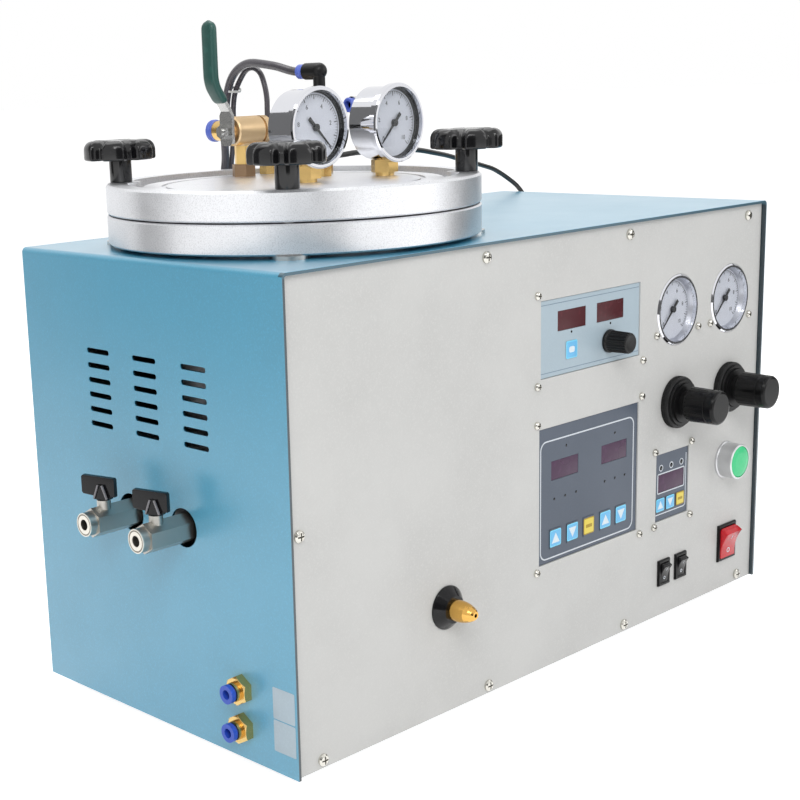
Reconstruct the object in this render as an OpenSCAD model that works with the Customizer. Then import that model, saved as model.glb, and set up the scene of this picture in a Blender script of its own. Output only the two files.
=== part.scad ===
// Automatic wax injector: sheet-metal case, heated pot with a clamped lid,
// lid gauges and fittings, front control panel and an injection nozzle.
// X runs along the front to the right, Y to the back, Z up.
// The origin is the middle of the footprint, on the surface under the feet.

/* [Case] */
// Outer length of the case along the front
case_w = 520; // [480:1:620]
// Outer depth of the case
case_d = 260; // [256:1:340]
// Outer height of the case without its feet
case_h = 308; // [300:1:380]
// Thickness of the case sheets
sheet_t = 2; // [1.5:0.1:3]
// Depth of the front panel behind the front edge of the cover
panel_inset = 3; // [2:0.5:6]
// Play between the sheets
sheet_play = 0.5; // [0.3:0.1:1]
// Outer radius of the cover's bends
bend_r = 3.5; // [3:0.5:6]
// Width of the fixing flanges behind the front panel
flange_w = 15; // [12:0.5:20]
// Height of the rubber feet
foot_h = 10; // [6:0.5:20]
// Diameter of the rubber feet
foot_d = 30; // [20:1:40]
// Distance of the feet from the edges of the case
foot_inset = 45; // [30:1:70]

/* [Vents] */
// Length of a vent slot
vent_len = 24; // [16:0.5:30]
// Width of a vent slot
vent_t = 3.5; // [2:0.1:5]
// Slots in a column
vent_rows = 6; // [3:1:8]
// Columns of slots
vent_cols = 3; // [2:1:3]
// Distance between slots in a column
vent_pitch_z = 9.8; // [8:0.1:12]
// Distance between columns
vent_pitch_y = 48.5; // [36:0.5:56]
// Height of the middle of the vents above the case bottom
vent_z = 220; // [200:1:240]

/* [Pot and lid] */
// Distance of the pot axis from the left side
pot_from_left = 133.5; // [130:0.5:160]
// Diameter of the lid and of the pot flange
lid_d = 251; // [240:1:254]
// Thickness of the lid
lid_t = 19; // [16:0.5:24]
// Thickness of the pot flange
pot_flange_t = 19; // [14:0.5:24]
// Gap between the case top and the pot flange
spacer_h = 2.5; // [2:0.5:8]
// Gap between the lid and the pot flange
seam = 1; // [0.6:0.1:1.6]
// Outer diameter of the pot
pot_d = 180; // [170:1:184]
// Wall of the pot
pot_wall = 6; // [4:0.5:8]
// Height of the pot bottom above the case bottom
pot_bottom = 56; // [50:1:60]
// Radius at which the lid seal runs
seal_r = 96; // [94:0.5:100]
// Thickness of the lid seal
seal_t = 3.5; // [3:0.1:4]
// Depth of the pocket in the lid
pocket_depth = 7.5; // [5:0.5:10]
// Width of the lid's rim round its pocket
rim_w = 14.5; // [12:0.5:16]
// Width of the trough between the rim and the raised disc
trough_w = 10; // [7:0.5:11]
// Height of the raised disc over the pocket floor
disc_h = 4.5; // [2:0.5:4.5]
// Distance of the clamp studs from the lid's edge
stud_edge = 9.5; // [9:0.5:10.5]
// Diameter of the clamp studs
stud_d = 8; // [6:0.5:9]
// Radial play of a running fit
run_play = 0.05; // [0.02:0.01:0.1]
// Radial play of a plain hole
hole_play = 0.3; // [0.2:0.05:0.5]
// Gap between the pot and the edge of its hole in the cover
pot_gap = 5; // [3:0.5:8]

/* [Star knobs] */
// Diameter over the lobes
knob_d = 48; // [42:1:52]
// Height of the lobed head
knob_h = 13; // [10:0.5:16]
// Number of lobes
knob_lobes = 6; // [5:1:8]
// Diameter of the shank
shank_d = 15; // [13:0.5:18]
// Length of the shank
shank_l = 15; // [10:0.5:20]

/* [Gauges] */
// Diameter of a gauge bezel
bezel_d = 53; // [48:0.5:56]
// Diameter of a gauge case
gauge_d = 49; // [44:0.5:50]
// Depth of a lid gauge
gauge_depth = 26; // [22:0.5:30]
// Width of the bezel ring
bezel_w = 2.6; // [2:0.1:4]
// Height of a lid gauge's middle over the raised disc
lid_gauge_z = 35.5; // [34:0.5:40]
// Radius of the screws round a panel gauge
gauge_screw_r = 31.8; // [31:0.1:33]
// Radius of a panel gauge's rear flange
gauge_flange_r = 35.2; // [34.5:0.1:35.4]
// Depth of a panel gauge behind the panel
panel_gauge_depth = 28; // [24:0.5:32]
// Distance across the flats of a gauge stem
stem_af = 16.5; // [14:0.5:19]

/* [Control panel] */
// Distance of the right control column from the right side
col_from_right = 45.5; // [44:0.5:52]
// Distance between the two control columns
col_pitch = 72; // [71.5:0.5:74]
// Distance of the displays' middle from the right side
display_from_right = 224; // [222:0.5:235]
// Height of the panel gauges above the case bottom, as a share of the case height
gauge_row = 0.76623; // [0.755:0.005:0.78]
// Height of the regulators above the case bottom, as a share of the case height
regulator_row = 0.53896; // [0.52:0.005:0.56]
// Height of the start button above the case bottom, as a share of the case height
button_row = 0.3474; // [0.335:0.005:0.365]
// Height of the nozzle above the case bottom
nozzle_row = 73; // [70:0.5:80]
// Distance of the nozzle to the right of the pot axis
nozzle_off = 6; // [0:0.5:10]
// Diameter of the heads of the screws round the panel's edge
screw_head_d = 7.8; // [6:0.1:8]
// Diameter of the shanks of the screws round the panel's edge
screw_d = 4; // [3:0.1:4.5]
// Diameter of the heads of the display and gauge screws
small_head_d = 5.6; // [5:0.1:6.5]
// Diameter of the shanks of the display and gauge screws
small_screw_d = 3; // [2.5:0.1:3.5]
// Diameter of the start button's ring
ring_d = 29.6; // [28:0.1:32]
// Diameter of the start button's cap
cap_d = 25; // [23:0.1:26]
// Travel of the start button
cap_travel = 4; // [2:0.5:5]
// Diameter of a regulator's panel nut
nut_d = 39; // [34:0.5:40]
// Diameter of a regulator's knob
reg_knob_d = 26.4; // [24:0.2:28]
// Length of a regulator's knob
reg_knob_l = 25.5; // [20:0.5:30]
// Diameter of the nozzle flange
nozzle_flange_d = 29.6; // [26:0.2:34]
// Diameter of the nozzle tip
nozzle_d = 14.4; // [12:0.2:15]
// Reach of the nozzle tip in front of the panel
nozzle_reach = 24.5; // [22:0.5:28]
// Travel of the nozzle tip
nozzle_travel = 4; // [2:0.5:5]

/* [Left side] */
// Distance across the flats of a side valve
valve_af = 17; // [15:0.5:18]
// Reach of a side valve from the wall
valve_reach = 38; // [34:0.5:42]
// Diameter of the wall holes round the side valves
valve_hole_d = 25.5; // [24:0.5:28]
// Height of the side valves above the case bottom
valve_row = 140.5; // [136:0.5:146]
// Distance between the side valves
valve_pitch = 54; // [46:0.5:60]
// Distance across the flats of a bulkhead fitting
fitting_af = 17; // [15:0.5:19]
// Height of the lower bulkhead fitting above the case bottom
fitting_low = 21; // [20:0.5:26]
// Distance between the bulkhead fittings
fitting_pitch = 25.4; // [24:0.2:30]
// Diameter of the tube that a bulkhead fitting takes
port_d = 6; // [4:0.5:6]

/* [Hidden] */
eps = 0.02;
$fn = 64;
case_bottom = foot_h;
case_top = foot_h + case_h;
left_x = -case_w / 2;
right_x = case_w / 2;
front_y = -case_d / 2;
back_y = case_d / 2;
panel_y = front_y + panel_inset;
panel_back = panel_y + sheet_t;
inner_w = case_w - 2 * (sheet_t + sheet_play);
inner_top = case_top - sheet_t;
side_top = case_top - bend_r;

pot_x = left_x + pot_from_left;
pot_r = pot_d / 2;
pot_in_r = pot_r - pot_wall;
pot_mid_r = pot_r - pot_wall / 2;
flange_z = case_top + spacer_h;
flange_top = flange_z + pot_flange_t;
lid_z = flange_top + seam;
lid_top = lid_z + lid_t;
pocket_z = lid_top - pocket_depth;
pocket_r = lid_d / 2 - rim_w;
disc_r = pocket_r - trough_w;
disc_z = pocket_z + disc_h;
top_hole_r = pot_r + pot_gap;
stud_xy = (lid_d / 2 - stud_edge) * cos(45);
stud_hole_r = stud_d / 2 + hole_play;
stud_top = lid_top + shank_l + 6;
spigot_play = 1;
spigot_h = 4;

col_r = right_x - col_from_right;
col_l = col_r - col_pitch;
display_x = right_x - display_from_right;
gauge_z = case_bottom + gauge_row * case_h;
regulator_z = case_bottom + regulator_row * case_h;
button_z = case_bottom + button_row * case_h;
nozzle_x = pot_x + nozzle_off;
nozzle_z = case_bottom + nozzle_row;

// Displays: middle, opening and screw pitch, as [x, z, w, h, screw_w, screw_h]
upper_display = [display_x, case_bottom + 0.76494 * case_h, 116, 53.7, 124, 62];
lower_display = [display_x - 0.6, case_bottom + 0.40617 * case_h, 117.6, 97.8, 123.6, 105.4];
small_display = [col_l - 1.8, case_bottom + 0.33149 * case_h, 44, 52.6, 49, 58.4];
display_margin = 5;
display_plate_t = 1.6;
film_set = 0.8;
film_gap = 0.4;
film_pad = sheet_t - film_set;
board_gap = 8;
board_t = 1.6;
key_h = 0.5;
window_depth = 0.6;

// Switches: middle, bezel and rocker height, as [x, z, bezel_w, bezel_h]
power_switch = [col_r + 5, case_bottom + 38, 25.5, 30];
mode_switch_l = [col_l - 12.2, case_bottom + 34.2, 15, 20.4];
mode_switch_r = [col_l + 10.8, case_bottom + 34.2, 15, 20.4];
switch_bezel_t = 2;
switch_frame = 2;
switch_side = 2.2;
rocker_tilt = 16;
rocker_pivot = 0;
rocker_rise = 29;
rocker_sweep = 34;
rocker_dip = 0.16;
rocker_back = 3.5;
rocker_foot = 3;
axle_in = 0.7;
switch_depth = 22;

// Fixing screws of the panel along its edges
edge_screw_x = case_w / 2 - 23;
edge_screw_in = edge_screw_x / 3;
top_screw_z = case_top - 10;
low_screw_z = case_bottom + 5.8;
mid_screw_x = left_x + 9;
mid_screw_z = case_bottom + 0.4935 * case_h;
screw_slot_w = 1;
screw_slot_d = 1.2;
screw_head_h = 2.6;
screw_len = 7;
low_flange_top = case_bottom + sheet_t + 10;

side_valve_y = [23, 23 - valve_pitch];
valve_z = case_bottom + valve_row;
valve_stem_x = left_x - 21.5;
valve_pipe_r = 6;
fitting_y = -81;
fitting_z = [case_bottom + fitting_low + fitting_pitch, case_bottom + fitting_low];
manifold_x = left_x + 14;
manifold_w = 22;

// Lid furniture, from the pot axis, laid out for a raised disc of this radius
layout_r = 101;
function laid(p) = p * disc_r / layout_r;
gauge_stem = [laid([-4.5, -18.5]), laid([65, -23])];
gauge_front_off = 14.5;
vent_valve = laid([24, 77]);
vent_valve_z = disc_z + 32;
vent_valve_r = 10.3;
vent_valve_l = 32;
vent_port_y = 14;
tube_port = laid([51.5, 80]);
air_port = laid([43, 16.5]);
air_port_z = disc_z + 71.5;
vacuum_port = laid([90.5, 2]);
vacuum_port_z = disc_z + 48;
probe_at = laid([58.5, 32]);
lever_offset = 13;

// Diameters of the cords
tube_a_d = 6;
tube_b_d = 4;
cable_d = 4;
cord_hole_play = 0.4;

// Small sizes that the main ones lead to
pot_z = case_bottom + pot_bottom;
pot_floor = 8;
seal_play = 0.3;
seal_nip = 0.05;
seal_seat = seal_t - seam + seal_nip;
boss_r = 14;
boss_front = -panel_back - 10;
boss_bore = nozzle_travel + 10;
spacer_d = 24;
stud_nut_h = 6.5;
lid_edge = 1.5;
lid_boss_r = 13;
lid_hole_play = 1;
disc_groove_r = disc_r - 14;
knob_core_r = 18.4;
knob_edge = 1.5;
knob_notch_w = 7;
knob_over = 6;
knob_trough_r = 6.5;
knob_trough_up = 3;
knob_trough_in = 13;
lid_gauge_turn = [0, 3];
panel_gauge_proud = 1;
gauge_flange_t = 1.5;
bezel_back = 5;
dial_depth = 7;
dial_r = bezel_d / 2 - bezel_w;
dial_play = 0.15;
dial_t = 0.8;
lens_depth = 2.8;
lens_t = 1.6;
needle_rest = 225;
needle_shaft_r = 1;
needle_shaft_l = 3.5;
stem_r = 5.5;
stem_in = 4;
stem_collar_h = 2.5;
tube_port_h = 24.5;
air_base_h = 9.5;
air_leg = 12.5;
vacuum_leg = 31;
vent_fit_r = 7.2;
vent_fit_l = 12;
vent_fit_bore = 9;
collar_h = 3;
lever_stem_r = 3;
lever_t = 2.5;
lever_w = 13;
lever_arm_w = 9.4;
lever_low = 10;
lever_round = 4;
lever_bend = 14;
lever_rise = 19;
lever_len = 71.5;
lever_span = 60;
lever_nut_af = 9;
lever_nut_h = 5;
lever_stem_in = 8;
lever_stem_out = 6.5;
sleeve_skin = 1.6;
sleeve_play = 0.1;
sleeve_w = 13;
sleeve_up = 7;
sleeve_over = 5;
probe_r = 3;
probe_l = 80;
valve_boss_h = 13.5;
handle_gap = 0.3;
valve_bore_r = 3.6;
handle_w = 9;
handle_hub_h = 10;
flag_t = 4.2;
flag_foot = 1.5;
flag_top = 14;
flag_edge = 1;
flag_in = 5.5;
flag_out = 15;
flag_tail = 9.5;
handle_turn = -68;
fitting_thread_r = 6.5;
fitting_neck = 9.3;
collar_sleeve_r = 4.7;
port_play = 0.1;
port_depth = 14;
collar_travel = 1;
outlet_r = 3;
needle_hub_r = 2.4;
needle_tail = 8.5;
needle_w = 1.8;
stem_collar_r = 6.5;
tube_base_af = 12.5;
tube_base_h = 7.5;
tube_port_r = 5;
air_base_af = 12;
vacuum_base_af = 14;
vent_bore_r = 4;
vent_collar_r = 8;
vent_collar_h = 6;
air_collar_h = 7;
long_collar_h = 4;
tube_b_collar_r = 4.6;
tube_a_collar_r = 5;
vent_nut_af = 15;
vent_nut_h = 8.5;
vent_neck_af = 11;
vent_end_r = 6;
vent_port_r = 5.5;
air_column_r = 4.2;
barrel_r = 5.7;
vacuum_column_r = 6;
probe_af = 14;
probe_hex_h = 7;
probe_head_r = 5.5;
probe_head_h = 18;
probe_exit_r = 3.2;
probe_exit_l = 12;
probe_exit_z = 12.5;
tube_in = 5;
tube_drop = 44;
cable_in = 8;
cable_side = 18;
cable_drop = 50;
valve_boss_r = 4.5;
handle_pin_r = 2.5;
fitting_neck_r = 6.2;
collar_r = 6;
board_post_r = 4;
lamp_r = 2.4;
reg_bonnet_r = 9.5;
reg_port_r = 6;
reg_body_l = 45;
reg_neck_out = 9;
reg_flutes = 24;
flute_r = 0.9;
cap_stem_r = 4;
cap_stem_l = 20;
button_body_l = 36;
button_nut_h = 6;
button_nut_af = 27;
manifold_h = 16;
coil_h = 32;
gland_r = 6;
foot_pin_r = 3;
switch_lip = 1.5;
axle_r = 1.5;
regulator_neck_r = 15;
nut_rim = 5;
nut_h = 7.6;
reg_knob_z = 13.5;
reg_spindle_r = 4;
timer_shaft_r = 3;
timer_knob_r = 7.8;
timer_reach = 18;
button_body_r = 11;
ring_reach = 14;
cap_h = 8;
nozzle_cone = 7;
nozzle_hole_r = 1.3;
nozzle_rear = boss_front + panel_y - 7;

// Cord routes: steps from the end on the lid, then steps from the end in the case
air_end = [pot_x + air_port[0], air_port[1] + air_leg, air_port_z];
tube_end = [pot_x + tube_port[0], tube_port[1], disc_z + tube_port_h];
cable_start = [pot_x + probe_at[0] + probe_exit_l, probe_at[1], disc_z + probe_exit_z];
tube_a_end = [pot_x + 60.5, back_y - tube_in, case_top - tube_drop];
tube_b_end = tube_a_end + [6, 0, 0];
cable_end = [right_x - cable_in, back_y - cable_side, case_top - cable_drop];
tube_a_route = concat(
    [for (p = [[0, 0, 0], [0, 8, 0], [0.1, 15, 0.8], [0.4, 22, 2.3], [0.8, 30.5, 4.2], [1.2, 39.5, 5.6],
        [1.7, 48.5, 6.7], [2.3, 57.5, 7.5], [2.9, 65.5, 7.1], [3.6, 73, 5], [4.3, 80, 1.3], [5.2, 86.5, -4.7],
        [6.2, 91.3, -12.5], [7.3, 95.1, -22], [8.7, 98.5, -33], [10.5, 102, -46]]) air_end + p],
    [for (p = [[-2, 12, 91], [-1, 17, 74], [0, 22, 57], [0, 27, 41], [0, 30, 26], [0, 28, 15],
        [0, 23, 7], [0, 15, 2], [0, 6, 0], [0, 0, 0]]) tube_a_end + p]);
tube_b_route = concat(
    [for (p = [[0, 0, 0], [0, 0, 11], [0, 0, 21], [0, 0, 30], [0, 2, 39], [1, 7, 47], [2, 15, 51],
        [3, 24, 50], [4, 32, 44], [4, 39, 34], [6, 44, 23], [9, 48, 10], [11, 52, -4]]) tube_end + p],
    [for (p = [[-2, 12, 88], [0, 17, 72], [0, 22, 56], [0, 27, 41], [0, 30, 26], [0, 28, 15],
        [0, 23, 7], [0, 15, 2], [0, 6, 0], [0, 0, 0]]) tube_b_end + p]);
cable_route = concat(
    [for (p = [[0, 0, 0], [10, 0, 0], [24, 2, 0.5], [56, 10, 0], [86, 17, -1], [118, 26, -3],
        [148, 35, -7], [176, 45, -11]]) cable_start + p],
    [for (p = [[-104, -25, 85], [-80, -17, 81], [-57, -9, 77], [-37, -3, 73], [-20, 2, 68], [-5, 5, 62],
        [8, 6, 55], [18, 6, 46], [25, 5, 36], [28, 3, 26], [28, 2, 18], [26.6, 1.4, 11.1],
        [22.7, 0.8, 5.3], [16.9, 0.3, 1.4], [10, 0, 0], [0, 0, 0]]) cable_end + p]);

// Places children on the panel front: x and y along the panel, z out of it
module on_panel(x, z) {
    translate([x, panel_y, z])
        rotate([90, 0, 0])
            children();
}

// Places children on the left wall: z out of the wall
module on_left(y, z) {
    translate([left_x, y, z])
        rotate([0, -90, 0])
            children();
}

module box(x0, x1, y0, y1, z0, z1) {
    translate([x0, y0, z0])
        cube([x1 - x0, y1 - y0, z1 - z0]);
}

module hexagon(af, h) {
    cylinder(d = af / cos(30), h = h, $fn = 6);
}

module ring(r_out, r_in, h) {
    difference() {
        cylinder(r = r_out, h = h);
        translate([0, 0, -eps])
            cylinder(r = r_in, h = h + 2 * eps);
    }
}

module slot(len, t, h) {
    for (s = [-1, 1])
        translate([s * (len - t) / 2, 0, 0])
            cylinder(d = t, h = h, $fn = 24);
    translate([-(len - t) / 2, -t / 2, 0])
        cube([len - t, t, h]);
}

module at_studs() {
    for (sx = [-1, 1])
        for (sy = [-1, 1])
            translate([pot_x + sx * stud_xy, sy * stud_xy, 0])
                children();
}

// Sweeps a tube along a route, with rings square to the way in and out
function unit(v) = v / norm(v);
function way(p, i) = unit(p[min(i + 1, len(p) - 1)] - p[max(i - 1, 0)]);
function side(w) = unit(cross(w, abs(w[0]) > 0.8 ? [0, 1, 0] : [1, 0, 0]));
function tube_ring(p, i, r, n) =
    let (w = way(p, i), a = side(w), b = cross(w, a))
    [for (k = [0:n - 1]) p[i] + r * (cos(360 * k / n) * a + sin(360 * k / n) * b)];
module tube(p, r, n) {
    m = len(p);
    pts = [for (i = [0:m - 1]) each tube_ring(p, i, r, n)];
    walls = [for (i = [0:m - 2]) for (k = [0:n - 1])
        [i * n + k, (i + 1) * n + k, (i + 1) * n + (k + 1) % n, i * n + (k + 1) % n]];
    caps = [[for (k = [0:n - 1]) k], [for (k = [0:n - 1]) m * n - 1 - k]];
    polyhedron(points = pts, faces = concat(walls, caps));
}

module edge_screw_spots() {
    for (x = [-edge_screw_in, edge_screw_in, edge_screw_x])
        on_panel(x, top_screw_z)
            children();
    for (x = [-edge_screw_x, -edge_screw_in, edge_screw_in, edge_screw_x])
        on_panel(x, low_screw_z)
            children();
    on_panel(mid_screw_x, mid_screw_z)
        children();
}

module small_screw_spots() {
    for (d = [upper_display, lower_display, small_display])
        for (sx = [-1, 1])
            for (sz = [-1, 1])
                if (d != upper_display || sx < 0 || sz < 0)
                    on_panel(d[0] + sx * d[4] / 2, d[1] + sz * d[5] / 2)
                        children();
    for (x = [col_l, col_r])
        for (a = [210, 330])
            on_panel(x + gauge_screw_r * cos(a), gauge_z + gauge_screw_r * sin(a))
                children();
}

module screw_holes() {
    edge_screw_spots()
        screw_hole(screw_d);
    small_screw_spots()
        screw_hole(small_screw_d);
}

module screw_hole(d) {
    translate([0, 0, -2 * screw_len])
        cylinder(d = d + 2 * hole_play, h = 4 * screw_len, $fn = 24);
}

// Outline of a bent sheet seen from its end, standing on the x axis
module bent_profile(w, h, r) {
    translate([-w / 2, 0])
        square([w, h - r]);
    translate([-w / 2 + r, 0])
        square([w - 2 * r, h]);
    for (x = [-1, 1])
        translate([x * (w / 2 - r), h - r])
            circle(r = r);
}

module cover() {
    color("steelblue")
    difference() {
        union() {
            translate([0, back_y, case_bottom])
                rotate([90, 0, 0])
                    linear_extrude(case_d)
                        difference() {
                            bent_profile(case_w, case_h, bend_r);
                            translate([0, -1])
                                bent_profile(case_w - 2 * sheet_t, case_h - sheet_t + 1, bend_r - sheet_t);
                            translate([-case_w, -1])
                                square([2 * case_w, side_top - case_bottom + 1]);
                        }
            box(left_x + bend_r, right_x - bend_r, panel_back, panel_back + sheet_t,
                inner_top - flange_w, case_top - sheet_t / 2);
        }
        translate([pot_x, 0, inner_top - sheet_t])
            cylinder(r = top_hole_r, h = 3 * sheet_t);
        at_studs()
            translate([0, 0, inner_top - sheet_t])
                cylinder(r = stud_hole_r, h = 3 * sheet_t, $fn = 32);
        screw_holes();
    }
}

// Side wall with its front flange, from its outer face x towards the inside along s
module side_wall(x, s) {
    for (w = [[sheet_t, front_y, back_y, case_bottom, side_top],
            [flange_w, panel_back, panel_back + sheet_t, low_flange_top + sheet_play,
                inner_top - flange_w - sheet_play]])
        box(min(x, x + s * w[0]), max(x, x + s * w[0]), w[1], w[2], w[3], w[4]);
}

module side_left() {
    color("steelblue")
    difference() {
        side_wall(left_x, 1);
        for (c = [0:vent_cols - 1])
            for (r = [0:vent_rows - 1])
                on_left((c - (vent_cols - 1) / 2) * vent_pitch_y + 1,
                    case_bottom + vent_z + (r - (vent_rows - 1) / 2) * vent_pitch_z)
                    translate([0, 0, -2 * sheet_t])
                        rotate([0, 0, 90])
                            slot(vent_len, vent_t, 4 * sheet_t);
        for (y = side_valve_y)
            on_left(y, valve_z)
                translate([0, 0, -2 * sheet_t])
                    cylinder(d = valve_hole_d, h = 4 * sheet_t);
        for (z = fitting_z)
            on_left(fitting_y, z)
                translate([0, 0, -2 * sheet_t])
                    cylinder(r = fitting_thread_r + hole_play, h = 4 * sheet_t, $fn = 32);
        screw_holes();
    }
}

module side_right() {
    color("steelblue")
    difference() {
        side_wall(right_x, -1);
        translate([right_x - 2 * sheet_t, cable_end[1], cable_end[2]])
            rotate([0, 90, 0])
                cylinder(r = gland_r + hole_play, h = 4 * sheet_t, $fn = 32);
        on_panel(col_r, gauge_z)
            translate([0, 0, -4 * sheet_t])
                cylinder(r = gauge_flange_r + 2 * hole_play, h = 4 * sheet_t);
    }
}

module front_panel() {
    color("gainsboro")
    difference() {
        box(-inner_w / 2, inner_w / 2, panel_y, panel_back, case_bottom, inner_top - sheet_play);
        for (d = [upper_display, lower_display, small_display])
            box(d[0] - d[2] / 2, d[0] + d[2] / 2, panel_y - 1, panel_back + 1,
                d[1] - d[3] / 2, d[1] + d[3] / 2);
        for (s = [power_switch, mode_switch_l, mode_switch_r])
            box(s[0] - s[2] / 2 + switch_lip, s[0] + s[2] / 2 - switch_lip, panel_y - 1, panel_back + 1,
                s[1] - s[3] / 2 + switch_lip, s[1] + s[3] / 2 - switch_lip);
        for (x = [col_l, col_r]) {
            on_panel(x, gauge_z)
                panel_hole(bezel_d / 2);
            on_panel(x, regulator_z)
                panel_hole(regulator_neck_r);
        }
        on_panel(col_r, button_z)
            panel_hole(button_body_r);
        on_panel(nozzle_x, nozzle_z)
            panel_hole(nozzle_d / 2);
        screw_holes();
    }
}

module panel_hole(r) {
    translate([0, 0, -2 * sheet_t])
        cylinder(r = r + hole_play, h = 4 * sheet_t);
}

module chassis() {
    color("silver")
    difference() {
        union() {
            box(-inner_w / 2, inner_w / 2, panel_back, back_y - sheet_t, case_bottom, case_bottom + sheet_t);
            box(-inner_w / 2, inner_w / 2, panel_back, panel_back + sheet_t, case_bottom, low_flange_top);
            box(-inner_w / 2, inner_w / 2, back_y - 2 * sheet_t, back_y - sheet_t, case_bottom,
                inner_top - sheet_play);
        }
        screw_holes();
        for (c = [[tube_a_end, tube_a_d], [tube_b_end, tube_b_d]])
            translate([c[0][0], back_y - 4 * sheet_t, c[0][2]])
                rotate([-90, 0, 0])
                    cylinder(r = c[1] / 2 + cord_hole_play, h = 6 * sheet_t, $fn = 32);
        at_feet()
            translate([0, 0, case_bottom - 1])
                cylinder(r = foot_pin_r + hole_play, h = 2 * sheet_t, $fn = 32);
    }
}

module at_feet() {
    for (sx = [-1, 1])
        for (sy = [-1, 1])
            translate([sx * (case_w / 2 - foot_inset), sy * (case_d / 2 - foot_inset), 0])
                children();
}

module feet() {
    color("black")
    at_feet() {
        rotate_extrude()
            polygon([[0, 0], [foot_d / 2 - 4, 0], [foot_d / 2 - 3, 1], [foot_d / 2, foot_h - 1],
                [foot_d / 2 - 0.5, foot_h], [0, foot_h]]);
        cylinder(r = foot_pin_r, h = foot_h + sheet_t, $fn = 32);
        translate([0, 0, foot_h + sheet_t])
            cylinder(r = foot_pin_r + 3, h = 3, $fn = 32);
    }
}

module panel_screws() {
    color("silver")
    {
        edge_screw_spots()
            screw(screw_head_d, screw_d);
        small_screw_spots()
            screw(small_head_d, small_screw_d);
    }
}

module screw(head_d, shank_d) {
    difference() {
        rotate_extrude($fn = 32)
            polygon([[0, 0], [head_d / 2, 0], [head_d / 2, screw_head_h * 0.5],
                [head_d * 0.38, screw_head_h * 0.85], [head_d * 0.22, screw_head_h], [0, screw_head_h]]);
        for (a = [0, 90])
            rotate([0, 0, a])
                translate([-head_d / 3, -screw_slot_w / 2, screw_head_h - screw_slot_d])
                    cube([head_d * 2 / 3, screw_slot_w, screw_head_h]);
    }
    translate([0, 0, -screw_len])
        cylinder(d = shank_d, h = screw_len + eps, $fn = 24);
}

module pot() {
    color("lightgray")
    difference() {
        union() {
            translate([pot_x, 0, 0])
                rotate_extrude($fn = 128)
                    polygon([[0, pot_z], [pot_r - 4, pot_z], [pot_r, pot_z + 4], [pot_r, flange_z],
                        [lid_d / 2 - 1, flange_z], [lid_d / 2, flange_z + 1], [lid_d / 2, flange_top - 1],
                        [lid_d / 2 - 1, flange_top], [seal_r + seal_t / 2 + seal_play, flange_top],
                        [seal_r + seal_t / 2 + seal_play, flange_top - seal_seat],
                        [seal_r - seal_t / 2 - seal_play, flange_top - seal_seat],
                        [seal_r - seal_t / 2 - seal_play, flange_top], [pot_in_r + 1, flange_top],
                        [pot_in_r, flange_top - 1], [pot_in_r, pot_z + pot_floor], [0, pot_z + pot_floor]]);
            translate([nozzle_x, -pot_mid_r, nozzle_z])
                rotate([90, 0, 0])
                    cylinder(r = boss_r, h = boss_front - pot_mid_r);
        }
        at_studs()
            translate([0, 0, flange_z - 1])
                cylinder(r = stud_hole_r, h = pot_flange_t + 2, $fn = 32);
        translate([nozzle_x, -boss_front + boss_bore, nozzle_z])
            rotate([90, 0, 0])
                cylinder(r = nozzle_d / 2 + run_play, h = boss_bore + 1);
        translate([nozzle_x, -pot_in_r * 0.9, nozzle_z])
            rotate([90, 0, 0])
                cylinder(r = outlet_r, h = boss_front - pot_in_r * 0.9, $fn = 32);
    }
}

module lid_seal() {
    color("black")
    translate([pot_x, 0, flange_top - seal_seat + seal_t / 2])
        rotate_extrude($fn = 128)
            translate([seal_r, 0])
                circle(d = seal_t, $fn = 32);
}

module lid_studs() {
    color("silver")
    at_studs() {
        translate([0, 0, inner_top - stud_nut_h])
            cylinder(d = stud_d, h = stud_top - inner_top + stud_nut_h, $fn = 48);
        translate([0, 0, case_top])
            cylinder(d = spacer_d, h = spacer_h);
        translate([0, 0, inner_top - stud_nut_h])
            hexagon(stud_d * 1.6, stud_nut_h);
    }
}

module lid() {
    color("lightgray")
    difference() {
        union() {
            translate([pot_x, 0, 0])
                rotate_extrude($fn = 128)
                    polygon([[0, lid_z - spigot_h], [pot_in_r - spigot_play, lid_z - spigot_h],
                        [pot_in_r - spigot_play, lid_z], [lid_d / 2 - 1, lid_z], [lid_d / 2, lid_z + 1],
                        [lid_d / 2, lid_top - lid_edge], [lid_d / 2 - lid_edge, lid_top], [pocket_r, lid_top],
                        [pocket_r, pocket_z], [disc_r, pocket_z], [disc_r, disc_z - 0.6],
                        [disc_r - 0.6, disc_z], [disc_groove_r + 1.5, disc_z],
                        [disc_groove_r + 1.5, disc_z - 1], [disc_groove_r - 1.5, disc_z - 1],
                        [disc_groove_r - 1.5, disc_z], [0, disc_z]]);
            intersection() {
                at_studs()
                    translate([0, 0, pocket_z - 1])
                        cylinder(r = lid_boss_r, h = pocket_depth + 1);
                translate([pot_x, 0, pocket_z - 2])
                    cylinder(r = lid_d / 2 - lid_edge, h = lid_t);
            }
        }
        at_studs()
            translate([0, 0, lid_z - 1])
                cylinder(r = stud_d / 2 + lid_hole_play, h = lid_t + 2, $fn = 48);
        translate([pot_x + probe_at[0], probe_at[1], lid_z - 2 * spigot_h])
            cylinder(r = probe_r + hole_play, h = 2 * lid_t, $fn = 32);
    }
}

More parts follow.
